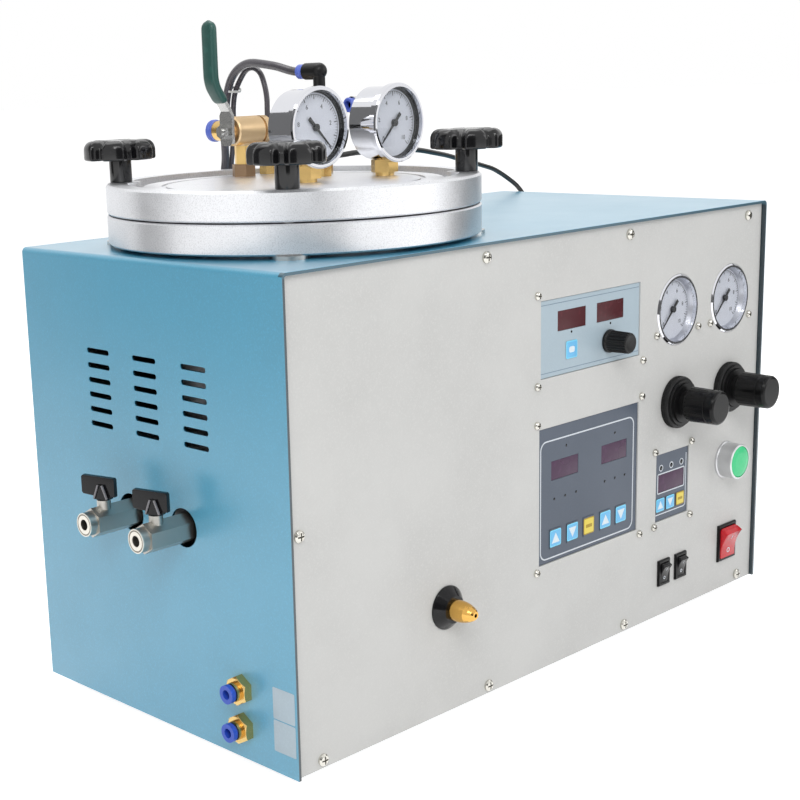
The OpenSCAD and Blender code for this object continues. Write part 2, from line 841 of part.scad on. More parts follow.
module star_knob(sx, sy, turn) {
    color("dimgray")
    translate([pot_x + sx * stud_xy, sy * stud_xy, lid_top])
        difference() {
            union() {
                rotate_extrude()
                    polygon([[0, 0], [shank_d / 2 - 0.5, 0], [shank_d / 2, 0.5], [shank_d / 2, shank_l + 1],
                        [0, shank_l + 1]]);
                translate([0, 0, shank_l])
                    difference() {
                        rotate_extrude()
                            polygon(concat([[0, 0], [knob_d / 2 - knob_edge, 0], [knob_d / 2, knob_edge]],
                                [for (t = [0:15:90]) [knob_d / 2 - knob_over * (1 - cos(t)),
                                    knob_h - knob_over * (1 - sin(t))]], [[0, knob_h]]));
                        for (k = [0:knob_lobes - 1])
                            rotate(turn + 360 * k / knob_lobes) {
                                translate([knob_core_r, -knob_notch_w / 2, -1])
                                    cube([knob_d, knob_notch_w, knob_h + 2]);
                                translate([knob_trough_in, 0, knob_h + knob_trough_up])
                                    rotate([0, 90, 0])
                                        cylinder(r = knob_trough_r, h = knob_d, $fn = 48);
                            }
                    }
            }
            translate([0, 0, -1])
                cylinder(r = stud_d / 2 + run_play, h = stud_top - lid_top + 2, $fn = 48);
        }
}
module star_knob_fl() { star_knob(-1, -1, 38); }
module star_knob_fr() { star_knob(1, -1, 26); }
module star_knob_bl() { star_knob(-1, 1, 12); }
module star_knob_br() { star_knob(1, 1, 0); }

// Places children on a lid gauge: z out of its face, from the front of the bezel
module at_lid_gauge(i) {
    translate([pot_x + gauge_stem[i][0], gauge_stem[i][1], disc_z + lid_gauge_z])
        rotate([0, 0, lid_gauge_turn[i]])
            rotate([90, 0, 0])
                translate([0, 0, gauge_front_off])
                    children();
}

// Places children on a panel gauge in the same way
module at_panel_gauge(x) {
    on_panel(x, gauge_z)
        translate([0, 0, panel_gauge_proud])
            children();
}

module bezel(back) {
    rotate_extrude($fn = 96)
        polygon([[0, -back], [bezel_d / 2, -back], [bezel_d / 2, -1], [bezel_d / 2 - 1, 0], [0, 0]]);
}

module gauge_hollow() {
    translate([0, 0, -dial_depth])
        cylinder(r = dial_r, h = dial_depth + 1, $fn = 96);
    translate([0, 0, -dial_depth - needle_shaft_l])
        cylinder(r = needle_shaft_r + run_play, h = dial_depth, $fn = 24);
}

module dial() {
    translate([0, 0, -dial_depth])
        ring(dial_r - dial_play, needle_shaft_r + hole_play, dial_t);
}

module lens() {
    translate([0, 0, -lens_depth])
        cylinder(r = dial_r - dial_play, h = lens_t, $fn = 96);
}

module needle(a) {
    translate([0, 0, -dial_depth - needle_shaft_l + 0.5])
        cylinder(r = needle_shaft_r, h = needle_shaft_l + dial_depth - lens_depth - 1.3, $fn = 24);
    translate([0, 0, -dial_depth + dial_t + 0.6])
        cylinder(r = needle_hub_r, h = dial_depth - dial_t - lens_depth - 1.4, $fn = 32);
    rotate([0, 0, a])
        translate([0, 0, -dial_depth + dial_t + 1.2])
            linear_extrude(0.5)
                polygon([[-needle_tail, -needle_w * 0.7], [0, -needle_w / 2], [dial_r - 5, -needle_w / 8],
                    [dial_r - 5, needle_w / 8], [0, needle_w / 2], [-needle_tail, needle_w * 0.7]]);
}

module lid_gauge_cases() {
    color("silver")
    for (i = [0, 1])
        at_lid_gauge(i)
            difference() {
                union() {
                    rotate_extrude($fn = 96)
                        polygon([[0, -gauge_depth], [gauge_d / 2 - 1.5, -gauge_depth],
                            [gauge_d / 2, -gauge_depth + 1.5], [gauge_d / 2, -bezel_back + 0.5],
                            [0, -bezel_back + 0.5]]);
                    bezel(bezel_back);
                }
                gauge_hollow();
                translate([0, 0, -gauge_front_off])
                    rotate([90, 0, 0])
                        translate([0, 0, gauge_d / 2 - stem_in - hole_play])
                            cylinder(r = stem_r + hole_play, h = gauge_d, $fn = 32);
            }
}

module lid_gauge_dials() {
    color("white")
    for (i = [0, 1])
        at_lid_gauge(i)
            dial();
}

module lid_gauge_lenses() {
    color("aliceblue", 0.3)
    for (i = [0, 1])
        at_lid_gauge(i)
            lens();
}

module lid_needle_l() {
    color("black")
    at_lid_gauge(0)
        needle(180 - needle_rest);
}

module lid_needle_r() {
    color("black")
    at_lid_gauge(1)
        needle(needle_rest);
}

module panel_gauge_cases() {
    color("silver")
    difference() {
        for (x = [col_l, col_r])
            at_panel_gauge(x)
                difference() {
                    union() {
                        translate([0, 0, -panel_gauge_depth])
                            cylinder(d = gauge_d, h = panel_gauge_depth - 1);
                        bezel(panel_gauge_proud + sheet_t + gauge_flange_t);
                        translate([0, 0, -panel_gauge_proud - sheet_t - gauge_flange_t])
                            cylinder(r = gauge_flange_r, h = gauge_flange_t);
                    }
                    gauge_hollow();
                }
        screw_holes();
    }
}

module panel_gauge_dials() {
    color("white")
    for (x = [col_l, col_r])
        at_panel_gauge(x)
            dial();
}

module panel_gauge_lenses() {
    color("aliceblue", 0.3)
    for (x = [col_l, col_r])
        at_panel_gauge(x)
            lens();
}

module panel_needle_l() {
    color("black")
    at_panel_gauge(col_l)
        needle(needle_rest);
}

module panel_needle_r() {
    color("black")
    at_panel_gauge(col_r)
        needle(needle_rest);
}

// Places children on the lid's raised disc
module on_lid(p) {
    translate([pot_x + p[0], p[1], disc_z])
        children();
}

module brass_fittings() {
    color("goldenrod")
    {
        for (p = gauge_stem)
            on_lid(p) {
                cylinder(r = stem_collar_r, h = stem_collar_h + eps);
                translate([0, 0, stem_collar_h])
                    hexagon(stem_af, lid_gauge_z - gauge_d / 2 - stem_collar_h - 0.1);
                cylinder(r = stem_r, h = lid_gauge_z - gauge_d / 2 + stem_in, $fn = 32);
            }
        on_lid(tube_port) {
            rotate([0, 0, 30])
                hexagon(tube_base_af, tube_base_h);
            difference() {
                cylinder(r = tube_port_r, h = tube_port_h);
                translate([0, 0, tube_port_h - 8])
                    cylinder(d = tube_b_d, h = 10, $fn = 32);
            }
        }
        on_lid(air_port)
            hexagon(air_base_af, air_base_h);
        on_lid(vacuum_port)
            hexagon(vacuum_base_af, air_base_h);
        translate([pot_x + vent_valve[0], vent_valve[1] + vent_port_y, vent_valve_z])
            rotate([-90, 0, 0])
                difference() {
                    cylinder(r = vent_fit_r, h = vent_fit_l);
                    translate([0, 0, vent_fit_l - vent_fit_bore])
                        cylinder(r = vent_bore_r, h = vent_fit_l, $fn = 32);
                }
    }
}

module vent_valve_body() {
    color("darkgoldenrod")
    {
        on_lid(vent_valve) {
            hexagon(vent_nut_af, vent_nut_h);
            hexagon(vent_neck_af, vent_valve_z - disc_z - vent_valve_r * 0.6);
        }
        translate([pot_x + vent_valve[0] - vent_valve_l / 3, vent_valve[1], vent_valve_z])
            rotate([0, 90, 0])
                difference() {
                    union() {
                        rotate_extrude()
                            polygon([[0, -2], [5.5, -2], [5.5, 0], [vent_valve_r - 1, 0], [vent_valve_r, 1],
                                [vent_valve_r, vent_valve_l - 8], [vent_valve_r - 1.5, vent_valve_l - 8],
                                [vent_valve_r - 1.5, vent_valve_l - 6], [vent_valve_r, vent_valve_l - 6],
                                [vent_valve_r, vent_valve_l - 1], [vent_valve_r - 1, vent_valve_l],
                                [0, vent_valve_l]]);
                    }
                    translate([0, 0, -3])
                        cylinder(r = lever_stem_r + run_play, h = 12, $fn = 32);
                    translate([0, 0, vent_valve_l - 5])
                        cylinder(r = vent_end_r, h = 6, $fn = 32);
                }
        translate([pot_x + vent_valve[0], vent_valve[1] + vent_valve_r * 0.8, vent_valve_z])
            rotate([-90, 0, 0])
                cylinder(r = vent_port_r, h = vent_port_y - vent_valve_r * 0.8);
    }
}

// Side view of the lever from the stem axis: offset to the left and height
function lever_path(t, top) = [
    [0, -lever_low], [t, -lever_low], [t, lever_bend], [lever_offset + t, lever_bend + lever_rise],
    [lever_offset + t, top], [lever_offset, top],
    [lever_offset, lever_bend + lever_rise + t / 3], [0, lever_bend + t / 3]];

module lever_bar(path, w) {
    rotate([90, 0, 0])
        translate([0, 0, -w / 2])
            linear_extrude(w)
                polygon([for (p = path) [-p[0], p[1]]]);
}

// Carries a shape seen from the lever's front through its whole bend
module across_lever() {
    translate([-lever_span / 2, 0, 0])
        rotate([90, 0, 90])
            linear_extrude(lever_span)
                children();
}

module at_lever() {
    translate([pot_x + vent_valve[0] - vent_valve_l / 3 - 2.2, vent_valve[1], vent_valve_z])
        children();
}

module vent_lever() {
    color("silver")
    at_lever() {
        intersection() {
            lever_bar(lever_path(lever_t, lever_len), lever_w);
            across_lever() {
                hull() {
                    for (s = [-1, 1])
                        translate([s * (lever_w / 2 - lever_round), lever_round - lever_low])
                            circle(r = lever_round, $fn = 32);
                    translate([-lever_w / 2, 0])
                        square([lever_w, lever_bend - lever_t]);
                    translate([-lever_arm_w / 2, 0])
                        square([lever_arm_w, lever_bend]);
                }
                translate([-lever_arm_w / 2, 0])
                    square([lever_arm_w, 2 * lever_len]);
            }
        }
        translate([lever_stem_in, 0, 0])
            rotate([0, -90, 0])
                cylinder(r = lever_stem_r, h = lever_stem_in + lever_t + lever_stem_out, $fn = 32);
        translate([-lever_t, 0, 0])
            rotate([0, -90, 0])
                hexagon(lever_nut_af, lever_nut_h);
    }
}

module lever_sleeve() {
    color("seagreen")
    at_lever()
        difference() {
            intersection() {
                translate([sleeve_skin, 0, 0])
                    lever_bar(lever_path(lever_t + 2 * sleeve_skin, lever_len + sleeve_over), sleeve_w);
                across_lever()
                    hull() {
                        translate([-sleeve_w / 2, lever_bend + sleeve_up])
                            square([sleeve_w, eps]);
                        translate([0, lever_len + sleeve_over - sleeve_w * 0.72])
                            intersection() {
                                circle(d = sleeve_w * 1.44);
                                square([sleeve_w, 2 * sleeve_w], center = true);
                            }
                    }
            }
            translate([sleeve_play, 0, 0])
                lever_bar(lever_path(lever_t + 2 * sleeve_play, lever_len + sleeve_play),
                    lever_arm_w + 2 * sleeve_play);
        }
}

module air_elbow() {
    color("black")
    translate([pot_x + air_port[0], air_port[1], 0])
        difference() {
            union() {
                translate([0, 0, disc_z + air_base_h])
                    cylinder(r = air_column_r, h = air_port_z - disc_z - air_base_h);
                translate([0, 0, air_port_z])
                    sphere(r = barrel_r);
                translate([0, 0, air_port_z])
                    rotate([-90, 0, 0])
                        cylinder(r = barrel_r, h = air_leg);
            }
            translate([0, 6, air_port_z])
                rotate([-90, 0, 0])
                    cylinder(d = tube_a_d - 1, h = air_leg, $fn = 32);
        }
}

module vacuum_elbow() {
    color("silver")
    translate([pot_x + vacuum_port[0], vacuum_port[1], 0])
        difference() {
            union() {
                translate([0, 0, disc_z + air_base_h])
                    cylinder(r = vacuum_column_r, h = vacuum_port_z - disc_z - air_base_h);
                translate([0, 0, vacuum_port_z])
                    sphere(r = vacuum_column_r);
                translate([0, 0, vacuum_port_z])
                    rotate([0, -90, 0])
                        cylinder(r = barrel_r, h = vacuum_leg);
            }
            translate([-8, 0, vacuum_port_z])
                rotate([0, -90, 0])
                    cylinder(d = port_d, h = vacuum_leg, $fn = 32);
        }
}

module collar(r, bore, h) {
    difference() {
        rotate_extrude()
            polygon([[0, 0], [r - 0.6, 0], [r - 0.6, h * 0.35], [r, h * 0.5],
                [r, h - 0.6], [r - 0.6, h], [0, h]]);
        translate([0, 0, -1])
            cylinder(r = bore, h = h + 2, $fn = 32);
    }
}

module lid_collars() {
    color("royalblue")
    {
        translate([pot_x + vent_valve[0], vent_valve[1] + vent_port_y + vent_fit_l, vent_valve_z])
            rotate([-90, 0, 0])
                collar(vent_collar_r, vent_bore_r, vent_collar_h);
        on_lid(tube_port)
            translate([0, 0, tube_port_h])
                collar(tube_b_collar_r, tube_b_d / 2 + hole_play, collar_h);
        translate([pot_x + air_port[0], air_port[1] + air_leg, air_port_z])
            rotate([-90, 0, 0])
                collar(tube_a_collar_r, tube_a_d / 2 + hole_play, air_collar_h);
        translate([pot_x + vacuum_port[0] - vacuum_leg, vacuum_port[1], vacuum_port_z])
            rotate([0, -90, 0])
                collar(tube_a_collar_r, port_d / 2, long_collar_h);
    }
}

module temperature_probe() {
    color("silver")
    {
        on_lid(probe_at) {
            hexagon(probe_af, probe_hex_h);
            cylinder(r = probe_head_r, h = probe_head_h);
            translate([0, 0, -probe_l])
                cylinder(r = probe_r, h = probe_l + 1, $fn = 32);
            translate([0, 0, cable_start[2] - disc_z])
                rotate([0, 90, 0])
                    cylinder(r = probe_exit_r, h = cable_start[0] - pot_x - probe_at[0], $fn = 32);
        }
    }
}

module tube_a() {
    color("dimgray")
    tube(tube_a_route, tube_a_d / 2, 10);
}

module tube_b() {
    color("dimgray")
    tube(tube_b_route, tube_b_d / 2, 8);
}

module cable() {
    color("black")
    tube(cable_route, cable_d / 2, 8);
}

module cable_gland() {
    color("black")
    translate([right_x, cable_end[1], cable_end[2]])
        rotate([0, 90, 0])
            difference() {
                union() {
                    translate([0, 0, -sheet_t - 6])
                        cylinder(r = gland_r, h = sheet_t + 7);
                    cylinder(r = gland_r + 2.5, h = 3);
                    translate([0, 0, -sheet_t - 5])
                        hexagon(2 * gland_r + 4, 5);
                }
                translate([0, 0, -20])
                    cylinder(r = cable_d / 2 + 4 * hole_play, h = 40, $fn = 32);
            }
}

module side_valves() {
    color("silver")
    for (y = side_valve_y)
        on_left(y, valve_z)
            difference() {
                union() {
                    translate([0, 0, -4])
                        hexagon(valve_af, valve_reach - 2);
                    translate([0, 0, valve_reach - 7])
                        cylinder(d = valve_af - 1.5, h = 7);
                    translate([0, 0, left_x - manifold_x])
                        cylinder(r = valve_pipe_r, h = manifold_x - left_x);
                    translate([0, 0, left_x - valve_stem_x])
                        rotate([0, 90, 0])
                            cylinder(r = valve_boss_r, h = valve_boss_h);
                }
                translate([0, 0, valve_reach - 16])
                    cylinder(r = valve_bore_r, h = 20, $fn = 32);
                translate([0, 0, left_x - valve_stem_x])
                    rotate([0, 90, 0])
                        translate([0, 0, valve_boss_h - 3])
                            cylinder(r = handle_pin_r + run_play, h = 6, $fn = 32);
            }
}

module side_handle(y) {
    color("black")
    translate([valve_stem_x, y, valve_z])
        rotate([0, 0, handle_turn]) {
            translate([0, 0, valve_boss_h - 2.7])
                cylinder(r = handle_pin_r, h = 6, $fn = 32);
            translate([0, 0, valve_boss_h + handle_gap])
                rotate([90, 0, 0]) {
                    linear_extrude(handle_w, center = true)
                        polygon([[-flag_in, 0], [flag_in, 0], [flag_in * 0.4, handle_hub_h],
                            [-flag_in * 0.4, handle_hub_h]]);
                    linear_extrude(flag_t, center = true)
                        polygon([[-flag_in, 0], [flag_in, 0], [flag_in + flag_edge, flag_foot],
                            [flag_tail, flag_foot], [flag_tail, flag_top - flag_edge],
                            [flag_tail - flag_edge, flag_top], [flag_edge - flag_out, flag_top + flag_edge],
                            [-flag_out, flag_top], [-flag_out, flag_foot + 2 * flag_edge],
                            [flag_edge - flag_out, flag_foot + flag_edge],
                            [-flag_in - flag_edge, flag_foot]]);
                }
        }
}
module side_handle_f() { side_handle(side_valve_y[1]); }
module side_handle_b() { side_handle(side_valve_y[0]); }

module side_fittings() {
    color("goldenrod")
    for (z = fitting_z)
        on_left(fitting_y, z)
            difference() {
                union() {
                    intersection() {
                        hexagon(fitting_af, 6);
                        rotate_extrude()
                            polygon([[0, 0], [fitting_af / 2 + 2, 0], [fitting_af / 2 + 2, 4.5],
                                [fitting_af / 2 - 0.2, 6], [0, 6]]);
                    }
                    cylinder(r = fitting_neck_r, h = fitting_neck);
                    translate([0, 0, -18])
                        cylinder(r = fitting_thread_r, h = 19, $fn = 48);
                    translate([0, 0, -sheet_t - 5])
                        hexagon(fitting_af, 5);
                }
                translate([0, 0, -19])
                    cylinder(d = port_d - 2, h = 40, $fn = 32);
                translate([0, 0, fitting_neck - port_depth])
                    cylinder(r = port_d / 2 + port_play, h = 40, $fn = 32);
                translate([0, 0, fitting_neck - 5])
                    cylinder(r = collar_sleeve_r + run_play, h = 10, $fn = 48);
            }
}

module side_collar(z) {
    color("royalblue")
    on_left(fitting_y, z)
        difference() {
            union() {
                translate([0, 0, fitting_neck - 3.5])
                    cylinder(r = collar_sleeve_r, h = 5, $fn = 48);
                translate([0, 0, fitting_neck + collar_travel + 0.2])
                    cylinder(r = collar_r, h = collar_h);
            }
            translate([0, 0, -1])
                cylinder(r = port_d / 2 + port_play, h = 40, $fn = 32);
        }
}
module side_collar_u() { side_collar(fitting_z[0]); }
module side_collar_l() { side_collar(fitting_z[1]); }

// A display: film plate with raised keys and sunk windows, and a board behind it
module display(d, windows, keys) {
    on_panel(d[0], d[1])
        translate([0, 0, -sheet_t])
            difference() {
                union() {
                    translate([-d[4] / 2 - display_margin, -d[5] / 2 - display_margin, -display_plate_t])
                        cube([d[4] + 2 * display_margin, d[5] + 2 * display_margin, display_plate_t]);
                    translate([-d[4] / 2, -d[5] / 2, -board_gap - board_t])
                        cube([d[4], d[5], board_t]);
                    for (sx = [-1, 1])
                        for (sz = [-1, 1])
                            translate([sx * d[4] / 2, sz * d[5] / 2, -board_gap - board_t])
                                cylinder(r = board_post_r, h = board_gap, $fn = 32);
                    translate([-d[2] / 2 + film_gap, -d[3] / 2 + film_gap, -display_plate_t / 2])
                        cube([d[2] - 2 * film_gap, d[3] - 2 * film_gap, film_pad + display_plate_t / 2]);
                    for (k = keys)
                        translate([k[0] - k[2] / 2, k[1] - k[3] / 2, film_pad - eps])
                            cube([k[2], k[3], key_h + eps]);
                }
                for (w = windows)
                    translate([w[0] - w[2] / 2, w[1] - w[3] / 2, film_pad - window_depth])
                        cube([w[2], w[3], 2]);
                for (sx = [-1, 1])
                    for (sz = [-1, 1])
                        translate([sx * d[4] / 2, sz * d[5] / 2, 0])
                            screw_hole(small_screw_d);
            }
}

module display_upper() {
    color("slategray")
    difference() {
        display(upper_display, [[-22.6, 10.7, 32, 14], [22.2, 10.7, 32, 14]], [[-23.1, -11, 12, 11.2]]);
        at_timer()
            translate([0, 0, -30])
                cylinder(r = timer_shaft_r + run_play, h = 60, $fn = 32);
    }
}

module display_lower() {
    color("slategray")
    display(lower_display, [[-28.8, 17, 31, 13.8], [29.9, 17, 31, 13.8]],
        [for (x = [-39.6, -20, -0.5, 19.5, 38.8]) [x, -32, 13, 14]]);
}

module display_small() {
    color("slategray")
    difference() {
        display(small_display, [[-0.6, 2.9, 34.5, 14]],
            [for (x = [-15.1, -1.8, 11.7]) [x, -13.7, 10.8, 10.2]]);
        for (x = [-14.2, -0.5, 13.2])
            on_panel(small_display[0] + x, small_display[1] + 15)
                translate([0, 0, -film_set - window_depth])
                    cylinder(r = lamp_r, h = 5, $fn = 32);
    }
}

module at_timer() {
    on_panel(upper_display[0] + 20.7, upper_display[1] - 11)
        children();
}

module timer_knob() {
    color("black")
    at_timer() {
        translate([0, 0, -sheet_t - board_gap])
            cylinder(r = timer_shaft_r, h = board_gap + 6, $fn = 32);
        difference() {
            rotate_extrude()
                polygon([[0, -film_set / 2], [timer_knob_r + 0.6, -film_set / 2], [timer_knob_r + 0.6, 1.5],
                    [timer_knob_r, 2.5], [timer_knob_r - 0.4, timer_reach - 1.2],
                    [timer_knob_r - 1.4, timer_reach], [0, timer_reach]]);
            translate([-0.5, 1, timer_reach - 0.6])
                cube([1, timer_knob_r, 2]);
        }
    }
}

module regulator_nuts() {
    color("black")
    for (x = [col_l, col_r])
        on_panel(x, regulator_z)
            difference() {
                rotate_extrude()
                    polygon([[0, 0], [nut_d / 2, 0], [nut_d / 2, nut_rim], [nut_d / 2 - 0.8, nut_rim + 0.8],
                        [nut_d / 2 - 2, nut_rim + 0.8], [nut_d / 2 - 2.2, nut_h], [0, nut_h]]);
                translate([0, 0, -1])
                    cylinder(r = regulator_neck_r + hole_play, h = 2 * nut_h);
            }
}

module regulator_bodies() {
    color("dimgray")
    for (x = [col_l, col_r])
        on_panel(x, regulator_z) {
            translate([0, 0, -sheet_t - 8])
                cylinder(r = regulator_neck_r + 2, h = 8);
            translate([0, 0, -sheet_t - reg_body_l])
                cylinder(r = regulator_neck_r, h = sheet_t + reg_body_l + reg_neck_out);
            cylinder(r = reg_bonnet_r, h = reg_knob_z - 0.5);
            cylinder(r = reg_spindle_r, h = reg_knob_z + 12, $fn = 32);
            translate([-regulator_neck_r - 2, 0, -sheet_t - reg_body_l * 0.6])
                rotate([0, 90, 0])
                    cylinder(r = reg_port_r, h = 2 * regulator_neck_r + 4);
        }
}

module regulator_knob(x) {
    color("black")
    on_panel(x, regulator_z)
        translate([0, 0, reg_knob_z])
            difference() {
                rotate_extrude()
                    polygon([[0, 0], [reg_knob_d / 2 - 1, 0], [reg_knob_d / 2, 1],
                        [reg_knob_d / 2 - 0.3, reg_knob_l - 8], [reg_knob_d / 2 - 0.9, reg_knob_l - 7.6],
                        [reg_knob_d / 2 - 0.9, reg_knob_l - 6.6], [reg_knob_d / 2 - 0.3, reg_knob_l - 6.2],
                        [reg_knob_d / 2 - 0.4, reg_knob_l - 2], [reg_knob_d / 2 - 1.2, reg_knob_l - 0.6],
                        [reg_knob_d / 2 - 2.6, reg_knob_l], [0, reg_knob_l]]);
                for (k = [0:reg_flutes - 1])
                    rotate([0, 0, 360 / reg_flutes * k])
                        translate([reg_knob_d / 2 + 0.5, 0, 2])
                            cylinder(r = flute_r, h = reg_knob_l - 10.6, $fn = 16);
                translate([0, 0, -1])
                    cylinder(r = reg_spindle_r + run_play, h = 14, $fn = 32);
            }
}
module regulator_knob_l() { regulator_knob(col_l); }
module regulator_knob_r() { regulator_knob(col_r); }

module start_ring() {
    color("silver")
    on_panel(col_r, button_z)
        difference() {
            union() {
                rotate_extrude()
                    polygon([[0, 0], [ring_d / 2, 0], [ring_d / 2, 1.4], [ring_d / 2 - 0.6, 2],
                        [ring_d / 2 - 0.9, 2], [ring_d / 2 - 0.9, ring_reach - 0.6],
                        [ring_d / 2 - 1.5, ring_reach], [0, ring_reach]]);
                translate([0, 0, -button_body_l])
                    cylinder(r = button_body_r, h = button_body_l + 1);
                translate([0, 0, -sheet_t - button_nut_h])
                    hexagon(button_nut_af, button_nut_h);
            }
            translate([0, 0, ring_reach - cap_h - cap_travel - 0.5])
                cylinder(r = cap_d / 2 + run_play, h = ring_reach);
            translate([0, 0, -cap_stem_l])
                cylinder(r = cap_stem_r + run_play, h = 2 * cap_stem_l, $fn = 32);
        }
}

module start_cap() {
    color("springgreen")
    on_panel(col_r, button_z) {
        translate([0, 0, ring_reach - cap_h])
            rotate_extrude()
                polygon([[0, 0], [cap_d / 2, 0], [cap_d / 2, cap_h - 0.8], [cap_d / 2 - 0.8, cap_h],
                    [cap_d / 2 - 5, cap_h + 0.6], [0, cap_h + 0.8]]);
        translate([0, 0, -cap_stem_l + cap_travel + 1])
            cylinder(r = cap_stem_r, h = ring_reach + cap_stem_l - cap_travel - cap_h, $fn = 32);
    }
}

module switch_bezel(s) {
    on_panel(s[0], s[1])
        difference() {
            union() {
                translate([-s[2] / 2, -s[3] / 2, 0])
                    cube([s[2], s[3], switch_bezel_t - 0.6]);
                translate([-s[2] / 2 + 0.5, -s[3] / 2 + 0.5, 0])
                    cube([s[2] - 1, s[3] - 1, switch_bezel_t]);
                translate([-s[2] / 2 + switch_lip + 0.2, -s[3] / 2 + switch_lip + 0.2, -switch_depth])
                    cube([s[2] - 2 * switch_lip - 0.4, s[3] - 2 * switch_lip - 0.4, switch_depth + 1]);
                for (x = [-1, 1])
                    for (y = [-1, 0, 1])
                        translate([x * s[2] / 5 - 0.4, y * s[3] / 4 - 2.4, -switch_depth - 8])
                            cube([0.8, 4.8, 9]);
            }
            translate([-s[2] / 2 + switch_side, -s[3] / 2 + switch_frame, -rocker_pivot - 5])
                cube([s[2] - 2 * switch_side, s[3] - 2 * switch_frame, 30]);
            translate([-s[2] / 2 + switch_side - 0.6, 0, -rocker_pivot])
                rotate([0, 90, 0])
                    cylinder(r = axle_r + run_play, h = s[2] - 2 * switch_side + 1.2, $fn = 32);
        }
}

module switch_bezels() {
    color("black")
    for (s = [power_switch, mode_switch_l, mode_switch_r])
        switch_bezel(s);
}

// A rocker tilted with its lower end pressed in
module rocker(s) {
    reach = s[3] / 2 - switch_frame - hole_play;
    w = s[2] - 2 * switch_side - 2 * hole_play;
    end = [for (k = [0:4]) let (t = rocker_rise - k * rocker_sweep / 4) reach * [cos(t), sin(t)]];
    face = end[0][1];
    on_panel(s[0], s[1])
        translate([0, 0, -rocker_pivot])
            rotate([rocker_tilt, 0, 0]) {
                rotate([90, 0, 90])
                    translate([0, 0, -w / 2])
                        linear_extrude(w)
                            polygon(concat(end, [[rocker_foot, -rocker_back], [-rocker_foot, -rocker_back]],
                                [for (i = [len(end) - 1:-1:0]) [-end[i][0], end[i][1]]],
                                [for (k = [-0.55, 0, 0.55])
                                    [k * end[0][0], face - rocker_dip * reach * (1 - k * k)]]));
                translate([-w / 2 - axle_in, 0, 0])
                    rotate([0, 90, 0])
                        cylinder(r = axle_r, h = w + 2 * axle_in, $fn = 32);
            }
}

module power_rocker() {
    color("red")
    rocker(power_switch);
}

module mode_rocker_l() {
    color("black")
    rocker(mode_switch_l);
}

module mode_rocker_r() {
    color("black")
    rocker(mode_switch_r);
}

module nozzle_flange() {
    color("black")
    on_panel(nozzle_x, nozzle_z)
        difference() {
            rotate_extrude()
                polygon([[0, 0], [nozzle_flange_d / 2, 0], [nozzle_flange_d / 2, 1],
                    [nozzle_flange_d / 2 - 0.4, 1.5],
                    [nozzle_d / 2 + 2, nozzle_cone], [0, nozzle_cone]]);
            translate([0, 0, -1])
                cylinder(r = nozzle_d / 2 + run_play, h = 20);
        }
}

module nozzle_tip() {
    color("goldenrod")
    on_panel(nozzle_x, nozzle_z)
        difference() {
            rotate_extrude()
                polygon([[0, nozzle_rear], [nozzle_d / 2, nozzle_rear], [nozzle_d / 2, nozzle_reach - 12],
                    [nozzle_d / 2 - 0.3, nozzle_reach - 9.5], [nozzle_d / 2 - 1, nozzle_reach - 6.5],
                    [nozzle_d / 2 - 2.1, nozzle_reach - 3.5], [nozzle_d / 2 - 3.4, nozzle_reach - 1.2],
                    [nozzle_d / 2 - 4.6, nozzle_reach], [0, nozzle_reach]]);
            translate([0, 0, nozzle_rear - 1])
                cylinder(r = nozzle_hole_r, h = nozzle_reach - nozzle_rear + 2, $fn = 32);
        }
}

module air_manifold() {
    color("slategray")
    {
        box(manifold_x, manifold_x + manifold_w, side_valve_y[1] - manifold_h, side_valve_y[0] + manifold_h,
            valve_z - manifold_h, valve_z + manifold_h);
        box(manifold_x + 2, manifold_x + 8, -24, 16, case_bottom + sheet_t, valve_z - manifold_h + 1);
        box(manifold_x + 2, manifold_x + manifold_w, -24, 16,
            case_bottom + sheet_t, case_bottom + sheet_t + 3);
        for (y = side_valve_y)
            box(manifold_x + 1, manifold_x + manifold_w - 1, y - manifold_w / 2, y + manifold_w / 2,
                valve_z + manifold_h - 1, valve_z + manifold_h + coil_h);
    }
}

cover();
side_left();
side_right();
front_panel();
chassis();
feet();
panel_screws();
pot();
lid_seal();
lid_studs();
lid();
star_knob_fl();
star_knob_fr();
star_knob_bl();
star_knob_br();
lid_gauge_cases();
lid_gauge_dials();
lid_gauge_lenses();
lid_needle_l();
lid_needle_r();
brass_fittings();
vent_valve_body();
vent_lever();
lever_sleeve();
air_elbow();
vacuum_elbow();
lid_collars();
temperature_probe();
tube_a();
tube_b();
cable();
cable_gland();
side_valves();
side_handle_f();
side_handle_b();
side_fittings();
side_collar_u();
side_collar_l();
panel_gauge_cases();
panel_gauge_dials();
panel_gauge_lenses();
panel_needle_l();
panel_needle_r();
display_upper();
display_lower();
display_small();
timer_knob();
regulator_nuts();
regulator_bodies();
regulator_knob_l();
regulator_knob_r();
start_ring();
start_cap();
switch_bezels();
power_rocker();
mode_rocker_l();
mode_rocker_r();
nozzle_flange();
nozzle_tip();
air_manifold();
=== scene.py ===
"""Looks of a bench wax injector: finishes for its solids and the fine pieces on them.

Shapes are worked out in millimetres and made in metres, in the object's own frame:
X along the front to the right, Y to the back, Z up, with the origin in the middle of
the footprint under the feet. The camera and the stage are given in metres.
"""

import math

import bpy
import numpy as np
from mathutils import Matrix


